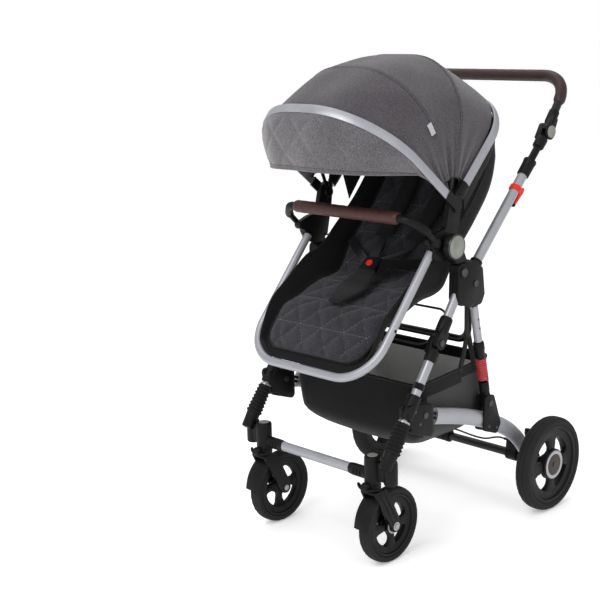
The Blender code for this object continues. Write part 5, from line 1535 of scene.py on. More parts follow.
@dataclass
class Shocks:
    """Rear legs with coil springs over dampers."""

    turns: int = 11

    def build(self) -> None:
        """Make each side."""
        for side in Side:
            self.leg(side)
            self.damper(side)
            self.spring(side)

    def leg(self, side: Side) -> None:
        """Silver leg with its tongue and the black spring head.

        Args:
            side: side of the pram.
        """
        draft = Draft()
        top = at(side * SIDE_X, LINES.rear_pivot)
        axis = in3(LINES.rear)
        draft.lathe(top, axis, mm((60, 9.6), (62, 10), (156, 10)), 32)
        across = square(LINES.rear)
        low = along(LINES.rear_pivot, LINES.rear, 0.068)
        outline = tongue(low, across, 0.009, LINES.rear_pivot, 0.012, range(0, 181, 15))
        draft.slab(outline, side * (SIDE_X - 0.0047), side * (SIDE_X + 0.0047), 0.001, 1)
        draft.lathe(top, axis, mm((153, 10), (155, 11.8), (158, 13.5), (175, 13.8), (177, 12.6), (195.5, 12.6),
            (197.2, 11.6), (197.2, 4.4), (180, 4.4)), 36, 1)
        for place in (0.095, 0.118):
            hole = at(side * SIDE_X, along(LINES.rear_pivot, LINES.rear, place))
            draft.lathe(hole, (side, 0, 0), mm((8.5, 2.6), (10, 2.6), (10.2, 2.2), (10.2, 0.3)), 18, 1)
        draft.make(f"rear_leg_{side.label}_dressed", "rear_legs", [Look.TUBE, Look.BLACK])

    def damper(self, side: Side) -> None:
        """Bright rod and the black body with its eye.

        Args:
            side: side of the pram.
        """
        draft = Draft()
        top = at(side * SIDE_X, LINES.rear_pivot)
        axis = in3(LINES.rear)
        draft.lathe(top, axis, [(0.1855, 0.004), (0.262, 0.004)], 24, 1)
        draft.lathe(top, axis, mm((260.5, 4), (260.5, 11.8), (262, 12.6), (284, 12.6), (287, 12), (289, 10),
            (289, 2)), 36)
        y, z = square(LINES.rear)
        high = along(LINES.rear_pivot, LINES.rear, 0.281)
        outline = tongue(high, (-y, -z), 0.0085, LINES.rear_foot, 0.0115, range(0, 181, 15))
        draft.slab(outline, side * (SIDE_X - 0.008), side * (SIDE_X + 0.008), 0.0012)
        draft.make(f"shock_lower_{side.label}_dressed", "shock_lower", [Look.BLACK, Look.PIN])

    def spring(self, side: Side) -> None:
        """Red coil spring round the shock absorber, riding on the rear legs.

        Args:
            side: side of the pram.
        """
        draft = Draft()
        start, end = 0.2005, 0.2575
        u = X_AXIS
        v = in3(LINES.rear).cross(u)
        path = []
        count = self.turns * 24
        for i in range(count + 1):
            share = i / count
            turn = 2 * math.pi * self.turns * share
            reach = share + 0.012 * math.sin(2 * math.pi * share)
            centre = at(side * SIDE_X, along(LINES.rear_pivot, LINES.rear,
                start + (end - start) * min(max(reach, 0), 1)))
            path.append(centre + (u * math.cos(turn) + v * math.sin(turn)) * 0.0117)
        draft.tube(path, 0.0022, 12)
        made = draft.make(f"shock_spring_{side.label}_coil", "rear_legs", [Look.SPRING],
            [f"shock_spring_{side.label}"])
        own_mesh(made)


@dataclass
class Handle:
    """Telescopic inner tubes, knuckles with their buttons and the leather wrapped bar."""

    corner: Side2 = (0.1335, 1.0962)
    bend: float = 0.072

    @property
    def arm(self) -> Side2:
        """Direction from the knuckles to the bar's corner."""
        return unit(LINES.knuckle, self.corner)

    def build(self) -> None:
        """Make the slides, the bar and the buttons."""
        for side in Side:
            self.slide(side)
            self.button(side)
        self.bar()
        self.grip()

    def slide(self, side: Side) -> None:
        """Black inner tube and the lower half of the knuckle.

        Args:
            side: side of the pram.
        """
        draft = Draft()
        length = math.dist(LINES.handle_foot, LINES.knuckle)
        low = length - 0.0225
        start = at(side * SIDE_X, LINES.handle_foot)
        draft.lathe(start, in3(LINES.handle), [(0.19, 0.0094), (low - 0.03, 0.0094), (low - 0.0285, 0.013),
            (low - 0.026, 0.0144), (low - 0.004, 0.015), (low, 0.014)], 36)
        across = square(LINES.handle)
        base = along(LINES.handle_foot, LINES.handle, low - 0.008)
        outline = tongue(base, across, 0.0125, LINES.knuckle, 0.0205, range(-15, -166, -10))
        draft.slab(outline, side * (SIDE_X - 0.0145), side * (SIDE_X - 0.0003), 0.0018)
        draft.make(f"handle_slide_{side.label}_dressed", "handle_slides", [Look.BLACK])

    def button(self, side: Side) -> None:
        """Silver grey disc in the knuckle, with a raised rim.

        Args:
            side: side of the pram.
        """
        draft = Draft()
        draft.lathe(at(side * SIDE_X, LINES.knuckle), (side, 0, 0), mm((11, 14.8), (17.2, 15), (18.6, 14.4),
            (19, 13.2), (18.6, 12.2), (18, 11.8), (18.3, 0.4)), 44)
        draft.make(f"knuckle_button_{side.label}_dressed", f"knuckle_button_{side.label}", [Look.GREY])

    def round_to(self, first: Side2, steps: int) -> list[Vector]:
        """The bar's line from a point of one arm to the same point of the other."""
        return rounded(both([at(SIDE_X, first), at(SIDE_X, self.corner)]), self.bend, steps)

    def bar(self) -> None:
        """Upper knuckles, their sleeves and the steel bar ends that the wrap leaves bare."""
        draft = Draft()
        y, z = square(self.arm)
        first = along(LINES.knuckle, self.arm, 0.0245)
        path = self.round_to(first, 12)
        draft.tube(path, 0.0108, 24, across=in3((y, z)))
        for side in Side:
            high = along(LINES.knuckle, self.arm, 0.0425)
            outline = tongue(high, (-y, -z), 0.0115, LINES.knuckle, 0.0205, range(-10, 191, 10))
            draft.slab(outline, side * (SIDE_X + 0.0002), side * (SIDE_X + 0.0118), 0.0016, 1)
            draft.lathe(at(side * SIDE_X, LINES.knuckle), (side, 0, 0),
                mm((10, 15.4), (10, 20), (13.4, 20.3), (14.5, 19.4), (14.5, 15.4)), 44, 1, closed=True)
            draft.lathe(at(side * SIDE_X, LINES.knuckle), in3(self.arm),
                mm((21, 12), (23, 13.2), (28, 13.8), (56, 13.2), (58.5, 12.4), (59, 10.9)), 36, 1)
        draft.make("handle_bar_dressed", "handle_bar", [Look.BLACK_STEEL, Look.BLACK])

    def grip(self) -> None:
        """Leather wrap with rolled ends and a raised seam along its inside."""
        draft = Draft()
        wrap = along(LINES.knuckle, self.arm, 0.083)
        path = even(self.round_to(wrap, 14), 0.006)
        total = len(path) - 1

        def radius(share: float) -> float:
            """Soft ends and slight swells where the leather is drawn tight.

            Args:
                share: place along the bar, 0 to 1.

            Returns:
                The radius there.
            """
            i = share * total
            end = min(i, total - i)
            return 0.0116 + 0.0031 * min(1.0, end / 1.2) ** 0.5 + 0.00018 * math.sin(i * 0.9) * math.sin(i * 0.37)

        draft.tube(path, radius, 30, across=in3(square(self.arm)))
        seam = []
        low = Vector((0, -0.35, -0.94)).normalized()
        for i in range(2, total - 1):
            tangent = (path[i + 1] - path[i - 1]).normalized()
            side = (low - tangent * low.dot(tangent)).normalized()
            seam.append(path[i] + side * 0.0144)
        draft.tube(seam, 0.0009, 8)
        for i in range(len(seam) - 1):
            middle = (seam[i] + seam[i + 1]) / 2
            tangent = (seam[i + 1] - seam[i]).normalized()
            side = (low - tangent * low.dot(tangent)).normalized()
            flat = tangent.cross(side)
            draft.tube([middle - flat * 0.0022 + side * 0.0002, middle + side * 0.0011,
                middle + flat * 0.0022 + side * 0.0002], 0.00042, 6, 1)
        draft.make("handle_grip_leather", "handle_bar", [Look.WRAP, Look.PIPING], ["handle_grip"])


# Seat unit

@dataclass
class Seat:
    """Seat hubs, frames, fabric shell, quilted pad, harness and bumper bar."""

    hub: Side2 = (-0.333, 0.731)
    lower: Side2 = (-0.379, 0.716)
    lean: float = 229.5
    reach: float = 0.345
    corner: float = 0.099
    half: float = 0.198
    skin: float = 0.004
    thick: float = 0.018
    pitch: float = 0.092
    slant: float = 1.3
    back_lean: float = 45.0
    bumper: Side2 = (-0.45, 0.805)
    bumper_pivot: Side2 = (-0.385, 0.745)
    line: tuple[Side2, ...] = ((-0.1, 0.955), (-0.092, 0.9), (-0.115, 0.83), (-0.175, 0.757), (-0.249, 0.683),
        (-0.3, 0.612), (-0.38, 0.596), (-0.446, 0.572), (-0.498, 0.556), (-0.525, 0.528))

    def build(self) -> None:
        """Make the pieces from the hubs outwards."""
        for side in Side:
            self.hub_disc(side)
        self.frame()
        self.back_bow()
        self.shell()
        self.gusset()
        self.pad()
        self.harness()
        self.buckle()
        self.bumper_bar()

    def on_frame(self, distance: float, below: float) -> Side2:
        """A point along the lower frame, some way below its plane."""
        return along(along(self.lower, toward(self.lean), distance), toward(self.lean - 270), below)

    def hub_disc(self, side: Side) -> None:
        """Greenish grey disc with a bright rim on its black foot.

        Args:
            side: side of the pram.
        """
        draft = Draft()
        axis = (side, 0, 0)
        centre = at(0, self.hub)
        draft.lathe(centre, axis, mm((202.5, 6), (213.8, 6), (213.8, 15), (222, 15), (222, 28.5), (223.5, 30),
            (238.5, 30), (240, 29), (240, 1)), 56)
        draft.lathe(centre, axis, mm((238.5, 30), (240, 30.7), (242, 30), (242.4, 28.2), (238.5, 27.5)), 56, 2,
            closed=True)
        draft.lathe(centre, axis, mm((238, 27.4), (241.2, 27.2), (243, 26.2), (243.6, 23.5), (242.8, 20.5),
            (243.2, 18), (243.6, 0.4)), 56, 1)
        outline = soft_outline(mm((-344, 726), (-303, 716), (-290, 689.8), (-330, 689.8), (-347, 708)), 0.004, 3)
        draft.slab(outline, side * 0.216, side * 0.2395, 0.0018)
        draft.lathe(spot(side * 0.2225, -0.316, 0), Z_AXIS, mm((672, 4.6), (673, 5), (700, 5)), 24)
        draft.make(f"seat_hub_{side.label}_dressed", "seat_hubs", [Look.BLACK, Look.GREY, Look.PIN])

    def frame(self) -> None:
        """Silver U tube, black hub plates and the cradle wire below."""
        draft = Draft()
        path = hoop(self.lower, self.lean, self.half, self.reach, self.corner, -0.004, 16)
        draft.tube(path, 0.01, 26, across=facing(self.lean))
        outline = mm((-279, 840), (-300, 848), (-322, 838), (-338, 772), (-372, 766), (-402, 755), (-402, 738),
            (-378, 729), (-386, 706), (-352, 696), (-325, 696), (-302, 712), (-285, 790))
        for side in Side:
            draft.slab(soft_outline(outline, 0.008, 3), side * 0.2005, side * 0.2135, 0.0018, 1)
            for bolt in (LINES.canopy_axis, self.bumper_pivot):
                draft.rivet(at(side * 0.213, bolt), side, 2)
            draft.rivet(at(side * (self.half + 0.0095), self.on_frame(0.205, 0)), side, 1)
        x = 0.1845
        line = mm((-274, 706), (-185, 632), (-262, 600), (-310, 528), (-389, 499))
        wire = [at(0.2045, (-0.318, 0.712))] + [at(x, p) for p in line]
        draft.tube(rounded(both(wire), 0.018, 6), 0.0021, 12, 3, across=Vector((0.3, 0.7, 0.6)))
        draft.make("lower_frame_dressed", "seat_frame", [Look.TUBE, Look.BLACK, Look.PIN, Look.BLACK_STEEL])

    def back_bow(self) -> None:
        """Flat silver bow with a black strip along its inner face."""
        draft = Draft()
        square_on = facing(self.back_lean)
        path = hoop(LINES.canopy_axis, self.back_lean, 0.2045, 0.322, 0.12, 0.0268, 16)
        draft.tube(path, 0.0135, 28, across=square_on, deep=0.37)
        inner = hoop(LINES.canopy_axis, self.back_lean, 0.199, 0.3165, 0.115, 0.035, 16)
        draft.band(inner, 0.0012, 0.015, square_on, 1)
        for side in Side:
            sleeve = [at(side * 0.2045, along(LINES.canopy_axis, toward(self.back_lean), d))
                for d in (0.027, 0.0285, 0.045, 0.062, 0.0635)]
            draft.tube(sleeve, lambda t: 0.015 + 0.0008 * math.sin(math.pi * t), 24, 1, square_on, 0.46)
        draft.make("back_bow_dressed", "seat_frame", [Look.TUBE, Look.BLACK])

    def shell(self) -> None:
        """Black fabric trough hung inside the frames, with bound top edges."""
        low = [*self.line, *(self.on_frame(d, b) for d, b in ((0.287, 0.009), (0.309, 0.008), (0.324, 0.007),
            (0.332, 0.006)))]
        top = mm((-120, 965), (-135, 935), (-158, 873), (-218, 800), (-292, 735), (-345, 690), (-400, 672),
            (-462, 628), (-515, 590), (-540, 556))
        top += [self.on_frame(d, b) for d, b in ((0.287, -0.006), (0.309, -0.003), (0.324, -0.001), (0.332, 0.0005))]
        halves = [(0.182,)] * 10
        for d in (0.287, 0.309, 0.324, 0.332):
            past = d - (self.reach - self.corner)
            halves.append((self.half - self.corner + math.sqrt((self.corner - 0.012) ** 2 - past ** 2),))
        count = 90
        grid = []
        rows = list(zip(spread(low, count), spread(top, count), spread(halves, count)))
        for k, (a, b, (half,)) in enumerate(rows):
            across = [at(-half, b), at(-half, a), at(half, a), at(half, b)]
            depth = math.dist(a, b)
            row = resampled(rounded(across, min(0.028, depth * 0.7), 6), 45)
            sag = 0.0035 * math.sin(k * 0.55) * math.sin(math.pi * k / count)
            grid.append([p + in3(unit(b, a)) * (sag * 0.35 * max(0, 1 - (p.x / half) ** 2)) for p in row])
        draft = Draft()
        draft.sheet([row[::-1] for row in grid], 0.0028)
        for edge in (0, -1):
            draft.tube([row[edge] for row in grid], 0.0026, 10, 1)
        made = draft.make("seat_shell_fabric", "seat_frame", [Look.SHELL, Look.PIPING], ["seat_shell"], 60)

    def gusset(self) -> None:
        """Slack black cloth that closes the back between the shell's top edge and the back bow."""
        bow = resampled(hoop(LINES.canopy_axis, self.back_lean, 0.1962, 0.3142, 0.113, 0.07, 16), 101)
        side = [at(0.186, p) for p in ((-0.236, 0.797), (-0.166, 0.882), (-0.122, 0.958))] + [at(0.15,
            (-0.0965, 0.95))]
        edge = resampled(rounded(both(side), 0.02, 5), 101)
        grid = []
        for i in range(13):
            t = i / 12
            out = []
            for j, (a, b) in enumerate(zip(bow, edge)):
                puff = (0.016 + 0.003 * math.sin(j * 0.43)) * math.sin(math.pi * t) * min(1.0, min(j, 100 - j) / 14)
                out.append(a.lerp(b, t) + in3((puff * 0.8, -puff * 0.6)))
            grid.append(out)
        draft = Draft()
        draft.sheet(grid, 0.0014)
        draft.tube(grid[-1], 0.0018, 8, 1)
        made = draft.make("back_gusset_cloth", "seat_frame", [Look.SHELL, Look.PIPING], (), 60)

    def quilting(self, u: float, x: float) -> float:
        """How far a place of the pad puffs up between its stitch lines, 0 on a line and 1 in mid cell.

        Args:
            u: place down the pad.
            x: place across it.

        Returns:
            Share of the full puff.
        """
        gap = 1.0
        for slope in (-1, 1):
            t = (u + slope * x * self.slant) / self.pitch
            gap = min(gap, abs(t - round(t)) * self.pitch * 0.6)
        t = u / self.pitch
        gap = min(gap, abs(t - round(t)) * self.pitch)
        return min(1.0, gap / 0.016) ** 0.6

    def pad(self) -> None:
        """Quilted pad: crowned closed form, its cells puffed between the stitch lines."""
        base = [*self.line, *(self.on_frame(d, b) for d, b in ((0.27, 0.0092), (0.292, 0.0085), (0.308, 0.008)))]
        halves = [(0.162,)] * 10 + [(0.156,), (0.142,), (0.118,)]
        count, cols = 170, 61
        low = spread(offset(base, self.skin + 0.0006), count)
        top = spread(offset(base, self.skin + self.thick), count)
        wide = spread(halves, count)
        travel = [0.0]
        for a, b in zip(top, top[1:]):
            travel.append(travel[-1] + math.dist(a, b))

        def height(k: int, x: float) -> float:
            """Share of the full thickness at one place.

            Args:
                k: station along the pad.
                x: place across it.

            Returns:
                The share.
            """
            edge = 1 - (abs(x) / wide[k][0]) ** 7
            ends = min(1.0, (min(travel[k], travel[-1] - travel[k]) + 0.0008) / 0.016)
            round_off = math.sqrt(max(edge, 0.0)) * math.sqrt(1 - (1 - ends) ** 2)
            return 0.25 + round_off * (0.43 + 0.31 * self.quilting(travel[k], x))

        def raised(k: int, x: float, share: float) -> Vector:
            """A point of the pad at one station, some share of the way up."""
            return at(x, (low[k][0] + (top[k][0] - low[k][0]) * share, low[k][1] + (top[k][1] - low[k][1]) * share))

        draft = Draft()
        rings = []
        for k in range(count):
            half = wide[k][0]
            ring = [at(x, low[k]) for x in (-half + 0.006, -half / 2, 0.0, half / 2, half - 0.006)]
            for j in range(cols):
                x = half * (1 - 2 * j / (cols - 1))
                ring.append(raised(k, x, height(k, x)))
            rings.append(ring)
        draft.skin(rings)
        made = draft.make("seat_pad_quilted", "seat_frame", [Look.PAD], ["seat_pad"], 60)

        def on_top(place: float, x: float) -> Vector:
            """A point of the pad's top face.

            Args:
                place: distance along the pad.
                x: place across it.

            Returns:
                The point.
            """
            k = min(range(count), key=lambda i: abs(travel[i] - place))
            return raised(k, x, height(k, x) + 0.02)

        stitches = Draft()
        for n in range(int(travel[-1] / self.pitch) + 1):
            self.stitch(stitches, [on_top(n * self.pitch, x / 400 * 0.3 - 0.15) for x in range(0, 401, 10)])
        for slope in (-1, 1):
            for n in range(-6, 16):
                run = [(n * self.pitch - slope * x * self.slant, x) for x in (i * 0.0075 - 0.15 for i in range(41))]
                run = [(u, x) for u, x in run if 0.01 < u < travel[-1] - 0.01]
                if len(run) > 2:
                    self.stitch(stitches, [on_top(u, x) for u, x in run])
        stitches.make("seat_pad_stitching", "seat_frame", [Look.STITCH])
        border = Draft()
        rim = []
        for k in range(1, count - 1, 2):
            middle = ((low[k][0] * 0.75 + top[k][0] * 0.25), (low[k][1] * 0.75 + top[k][1] * 0.25))
            rim.append(at(wide[k][0] + 0.0008, middle))
        border.tube(both(rim), 0.003, 10, closed=True)
        border.make("seat_pad_binding", "seat_frame", [Look.PIPING])

    def stitch(self, draft: Draft, path: Sequence[Vector]) -> None:
        """Dashes of thread along a path.

        Args:
            draft: mesh to add to.
            path: line of the seam.
        """
        fine = even(path, 0.0032)
        for i in range(0, len(fine) - 2, 3):
            draft.tube([fine[i], fine[i + 1], fine[i + 2]], 0.00062, 5)

    def harness(self) -> None:
        """Webbing straps and buckle body, with padded shoulder and crotch covers."""
        face = offset(self.line, self.skin + self.thick + 0.0016)
        draft = Draft()
        for side in Side:
            webbing = flowing([at(side * 0.055, face[2]), at(side * 0.055, face[3]), at(side * 0.05, face[4]),
                at(side * 0.012, (-0.346, 0.674))], 8)
            draft.band(webbing, 0.0018, 0.022, X_AXIS, 1)
            waist = flowing([at(side * 0.15, offset(self.line, 0.026)[4]), at(side * 0.095, (-0.292, 0.668)),
                at(side * 0.02, (-0.357, 0.668))], 8)
            draft.band(waist, 0.0018, 0.024, Vector((0, 0.6, 0.8)), 1)
        draft.slab(soft_outline(mm((-386, 653), (-378, 641), (-338, 671), (-346, 684)), 0.006, 4), -0.024, 0.024,
            0.004)
        draft.band(flowing([at(0, (-0.362, 0.664)), at(0, (-0.386, 0.64)), at(0, (-0.398, 0.619))], 6), 0.0024, 0.026,
            X_AXIS, 1)
        draft.make("harness_webbing", "seat_frame", [Look.BLACK, Look.WEBBING], ["harness"])
        for side in Side:
            cover = Draft()
            run = flowing([at(side * 0.06, face[1]), at(side * 0.056, face[2]), at(side * 0.054, face[3]),
                at(side * 0.05, (face[4][0] + 0.01, face[4][1] + 0.012))], 10)
            self.cushion(cover, run, 0.056, 0.012)
            cover.make(f"shoulder_pad_{side.label}", "seat_frame", [Look.SHELL])
        cover = Draft()
        run = flowing([at(0, (-0.366, 0.6545)), at(0, (-0.392, 0.635)), at(0, (-0.425, 0.615)),
            at(0, (-0.462, 0.6015)), at(0, (-0.492, 0.589))], 8)
        self.cushion(cover, run, 0.088, 0.011, leaf=True)
        cover.make("crotch_pad", "seat_frame", [Look.SHELL])

    def cushion(self, draft: Draft, path: Sequence[Vector], wide: float, thick: float, leaf: bool = False) -> None:
        """A flat padded strip with rounded ends, a sewn edge and two soft channels.

        Args:
            draft: mesh to add to.
            path: middle line of its back.
            wide: width.
            thick: thickness.
            leaf: shape its ends as a leaf.
        """
        rings = []
        last = len(path) - 1
        for i, point in enumerate(path):
            tangent = (path[min(i + 1, last)] - path[max(i - 1, 0)]).normalized()
            side = X_AXIS
            up = side.cross(tangent).normalized()
            if up.z < 0:
                up = -up
            share = i / last
            end = min(1.0, min(share, 1 - share) * last / 3 + 0.12)
            half = wide / 2 * (0.78 + 0.22 * math.sqrt(1 - (1 - end) ** 2))
            if leaf:
                half *= 0.3 + 0.7 * math.sin(math.pi * (0.1 + 0.8 * share)) ** 1.2
            puff = 0.9 - 0.12 * (1 if i % 7 == 0 else 0)
            ring = []
            for j in range(24):
                t = 2 * math.pi * j / 24
                c, s = math.cos(t), math.sin(t)
                lift = thick * 0.5 * math.copysign(abs(s) ** 0.6, s) * end * puff
                ring.append(point + side * (half * math.copysign(abs(c) ** 0.55, c)) + up * (thick * 0.5 + lift))
            rings.append(ring)
        draft.skin(rings)

    def buckle(self) -> None:
        """Red press button of the buckle."""
        draft = Draft()
        draft.lathe(at(0, (-0.362, 0.664)), (0, -0.6, 0.8), mm((5, 8.8), (9, 9), (9.8, 8.4), (10, 6.6), (9.5, 0.3)),
            36)
        draft.make("buckle_button_dressed", "buckle_button", [Look.RED])

    def bumper_bar(self) -> None:
        """Bent arms and the leather cover with its stitched seam."""
        draft = Draft()
        path = [at(0.221, self.bumper_pivot), at(0.221, (-0.42, 0.778)), at(0.187, (-0.449, 0.804)),
            at(0.15, self.bumper)]
        draft.tube(rounded(both(path), 0.03, 8), lambda s: 0.0068 + 0.0034 * fair(min(s, 1 - s) * 14), 24,
            across=Vector((0.02, 0.7, -0.7)))
        for side in Side:
            draft.lathe(at(side * 0.2142, self.bumper_pivot), (side, 0, 0), mm((0, 10), (1.2, 11.5), (11.5, 11.5),
                (13.5, 10), (13.8, 0.5)), 36)
        cover = []
        for i in range(121):
            d = -0.165 + 0.33 * i / 120
            end = min(1.0, (0.165 - abs(d)) / 0.01)
            cover.append((d, 0.0102 + 0.005 * math.sqrt(1 - (1 - end) ** 2) + 0.00016 * math.sin(i * 0.7)))
        draft.lathe(at(0, self.bumper), X_AXIS, cover, 36, 1)
        for i in range(70):
            x = -0.145 + 0.0042 * i
            out = Vector((0, 0.75, -0.66))
            draft.tube([at(x, self.bumper) + out * 0.0152 - Vector((0, 0, 0.002)), at(x, self.bumper) + out * 0.0158,
                at(x + 0.0006, self.bumper) + out * 0.0152 + Vector((0, 0, 0.002))], 0.00042, 6, 2)
        draft.make("bumper_bar_dressed", "bumper", [Look.BLACK, Look.BUMPER, Look.PIPING])


# Canopy

@dataclass
class Canopy:
    """Three cloth panels over two ribs and a front bow, with the visor that hangs from the bow."""

    bow: float = 141.0
    bow_half: float = 0.2156
    rib_a: float = 112.0
    rib_b: float = 82.0
    back: float = 48.4

    def build(self) -> None:
        """Make the ribs and the bow, the panels over them, the seams and the visor."""
        self.rib("canopy_rib_a", self.rib_a, 0.1983)
        self.rib("canopy_rib_b", self.rib_b, 0.1943)
        self.front_bow()
        self.panel("canopy_rear", self.back, self.rib_b - 0.1)
        self.panel("canopy_mid", self.rib_b + 0.1, self.rib_a - 0.1)
        self.panel("canopy_front", self.rib_a + 0.1, self.bow - 1.9)
        self.seam("canopy_rib_a", self.rib_a)
        self.seam("canopy_rib_b", self.rib_b)
        self.tag()
        self.visor()

    def shape(self, angle: float) -> tuple[float, float, float]:
        """Half width, length and corner of the cloth at an angle about the pivots.

        Args:
            angle: lean in degrees above +Y.

        Returns:
            Half width, length and corner radius.
        """
        knots = [(self.back, 0.1965, 0.33, 0.13), (self.rib_b, 0.2055, 0.3445, 0.165),
            (self.rib_a, 0.2055, 0.344, 0.175), (self.bow, 0.2095, 0.368, 0.185)]
        for low, high in zip(knots, knots[1:]):
            if angle <= high[0] or high is knots[-1]:
                whole, part = math.radians(high[0] - low[0]), math.radians(angle - low[0])
                t = part / whole
                slack = 4 * t * (1 - t)
                tight = math.sin(whole) / (math.sin(whole - part) / low[2] + math.sin(part) / high[2])
                half = low[1] + (high[1] - low[1]) * t
                return half - 0.0015 * slack, tight + 0.005 * slack, low[3] + (high[3] - low[3]) * t
        return knots[-1][1:]

    def over(self, angle: float, proud: float, start: float, count: int) -> list[Vector]:
        """The cloth's line at one angle.

        Args:
            angle: lean in degrees above +Y.
            proud: how far off the cloth the line runs.
            start: distance from the pivots to its ends.
            count: number of points.

        Returns:
            Evenly spaced points from right to left.
        """
        half, length, corner = self.shape(angle)
        return resampled(hoop(LINES.canopy_axis, angle, half + proud, length + proud, corner, start, 16), count)

    def rib(self, name: str, angle: float, half: float) -> None:
        """Flat black rib with its eyes.

        Args:
            name: name of the rib.
            angle: lean in degrees above +Y.
            half: half of its width.
        """
        draft = Draft()
        draft.band(hoop(LINES.canopy_axis, angle, half, 0.3398, 0.17, 0.01, 16), 0.0037, 0.01, facing(angle))
        for side in Side:
            draft.lathe(at(side * half, LINES.canopy_axis), X_AXIS, mm((-1.85, 12.2), (-1.2, 13), (1.2, 13),
                (1.85, 12.2)), 32)
        draft.make(f"{name}_dressed", name, [Look.BLACK_STEEL])

    def bow_path(self, start: float) -> list[Vector]:
        """The bow's middle line, from a distance off the pivots."""
        return hoop(LINES.canopy_axis, self.bow, self.bow_half, 0.376, 0.19, start, 22)

    def front_bow(self) -> None:
        """Wide flat silver bow with its eyes and black pivot caps."""
        draft = Draft()
        path = self.bow_path(0.01)
        draft.band(path, 0.0037, 0.022, facing(self.bow))
        for side in Side:
            draft.lathe(at(side * self.bow_half, LINES.canopy_axis), (side, 0, 0),
                mm((-1.85, 15), (1.85, 15), (3, 14), (3.4, 11), (3.4, 0.4)), 40, 1)
            path = [at(side * self.bow_half, along(LINES.canopy_axis, toward(self.bow), d))
                for d in (0.004, 0.006, 0.02, 0.04, 0.046, 0.048)]
            draft.band(path, 0.0074, 0.0262, facing(self.bow), 1)
        draft.make("canopy_bow_dressed", "canopy_bow", [Look.TUBE, Look.BLACK])

    def panel(self, name: str, first: float, last: float) -> None:
        """One cloth panel laid between two ribs, with a bound lower edge.

        Args:
            name: name of the panel.
            first: angle of its rear edge.
            last: angle of its front edge.
        """
        rows = 22
        grid = []
        for i in range(rows):
            share = i / (rows - 1)
            angle = first + (last - first) * share
            path = self.over(angle, 0, 0.065, 101)
            out = []
            slack = math.sin(math.pi * share)
            for j, point in enumerate(path):
                end = min(j, 100 - j) / 50
                wave = 0.0016 * math.sin(j * 0.31 + first) * math.sin(share * 5.3 + j * 0.05)
                wave += 0.0024 * (1 - fair(end * 2.2)) * math.sin(share * 15.0 + j * 0.11)
                centre = at(point.x * 0.25, LINES.canopy_axis)
                out.append(point + (point - centre).normalized() * wave * slack)
            grid.append(out)
        draft = Draft()
        draft.sheet(grid, 0.0016)
        for edge in (0, -1):
            draft.tube([row[edge] for row in grid], 0.0022, 10, 1)
        made = draft.make(f"{name}_cloth", None, [Look.CANOPY, Look.PIPING], [name], 60)
        middle = (first + last) / 2
        arm = 0.3
        end = at(0, along(LINES.canopy_axis, toward(last), arm / math.cos(math.radians(last - middle))))
        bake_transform(made)

    def seam(self, body: str, angle: float) -> None:
        """Flat felled seam of the cloth over a rib, with two rows of stitches.

        Args:
            body: rib that it rides on.
            angle: angle of that rib.
        """
        draft = Draft()
        path = self.over(angle, 0.0006, 0.066, 90)
        flat = facing(angle)
        draft.band(path, 0.0016, 0.011, flat)
        fine = self.over(angle, 0.0015, 0.067, 330)
        for shift in (-0.0036, 0.0036):
            draft.stitches([p + flat * shift for p in fine])
        draft.make(f"{body}_seam", body, [Look.CANOPY, Look.PIPING])

    def tag(self) -> None:
        """Small blank tape label sewn in along the seam over rib A."""
        angle = self.rib_a + 2.2
        path = self.over(angle, 0.003, 0.066, 90)[13:17]
        draft = Draft()
        draft.band(path, 0.0012, 0.015, facing(angle))
        draft.make("blank_tag", "canopy_rib_a", [Look.TAG])

    def visor(self) -> None:
        """Lighter cloth visor hung from the bow, its hem turned in and stitched."""
        count, rows = 181, 37
        path = resampled(self.bow_path(0.112), count)
        shift = facing(self.bow) * 0.0118
        grid = []
        for i in range(rows):
            t = i / (rows - 1)
            out = []
            for j, p in enumerate(path):
                high = p + shift
                share = min(abs(p.x) / self.bow_half, 1.0)
                leg = max(0.0, (0.186 - math.dist((p.y - AXLE_Y, p.z), LINES.canopy_axis)) / 0.074)
                low = Vector((p.x * 0.985, -0.602 + 0.165 * share ** 3 + 0.046 * leg + AXLE_Y,
                    0.92 - 0.012 * share ** 2 - 0.022 * leg))
                bulge = Vector((0.02 * p.x, -0.008, 0.002)) * (4 * t * (1 - t) * (1 - leg))
                ripple = 0.0014 * t * math.sin(j * 0.21) + 0.001 * math.sin(j * 0.08 + t * 4) * math.sin(math.pi * t)
                cell = min(abs(math.sin(j * 0.16 + t * 4.2)), abs(math.sin(j * 0.16 - t * 4.2)))
                puff = -0.003 * min(1.0, cell * 1.8) ** 0.6 * min(1.0, 8 * t * (1 - t))
                out.append(high.lerp(low, t) + bulge + Vector((0, ripple + puff, 0)))
            grid.append(out)
        draft = Draft()
        draft.sheet([row[::-1] for row in grid], 0.0016)
        draft.tube(grid[-1], 0.0026, 12)
        line = [p + Vector((0, -0.0011, 0)) for p in grid[-3]]
        draft.stitches(resampled(line, 300))
        made = draft.make("visor_cloth", "canopy_bow", [Look.VISOR, Look.PIPING], ["visor"], 60)


# Basket

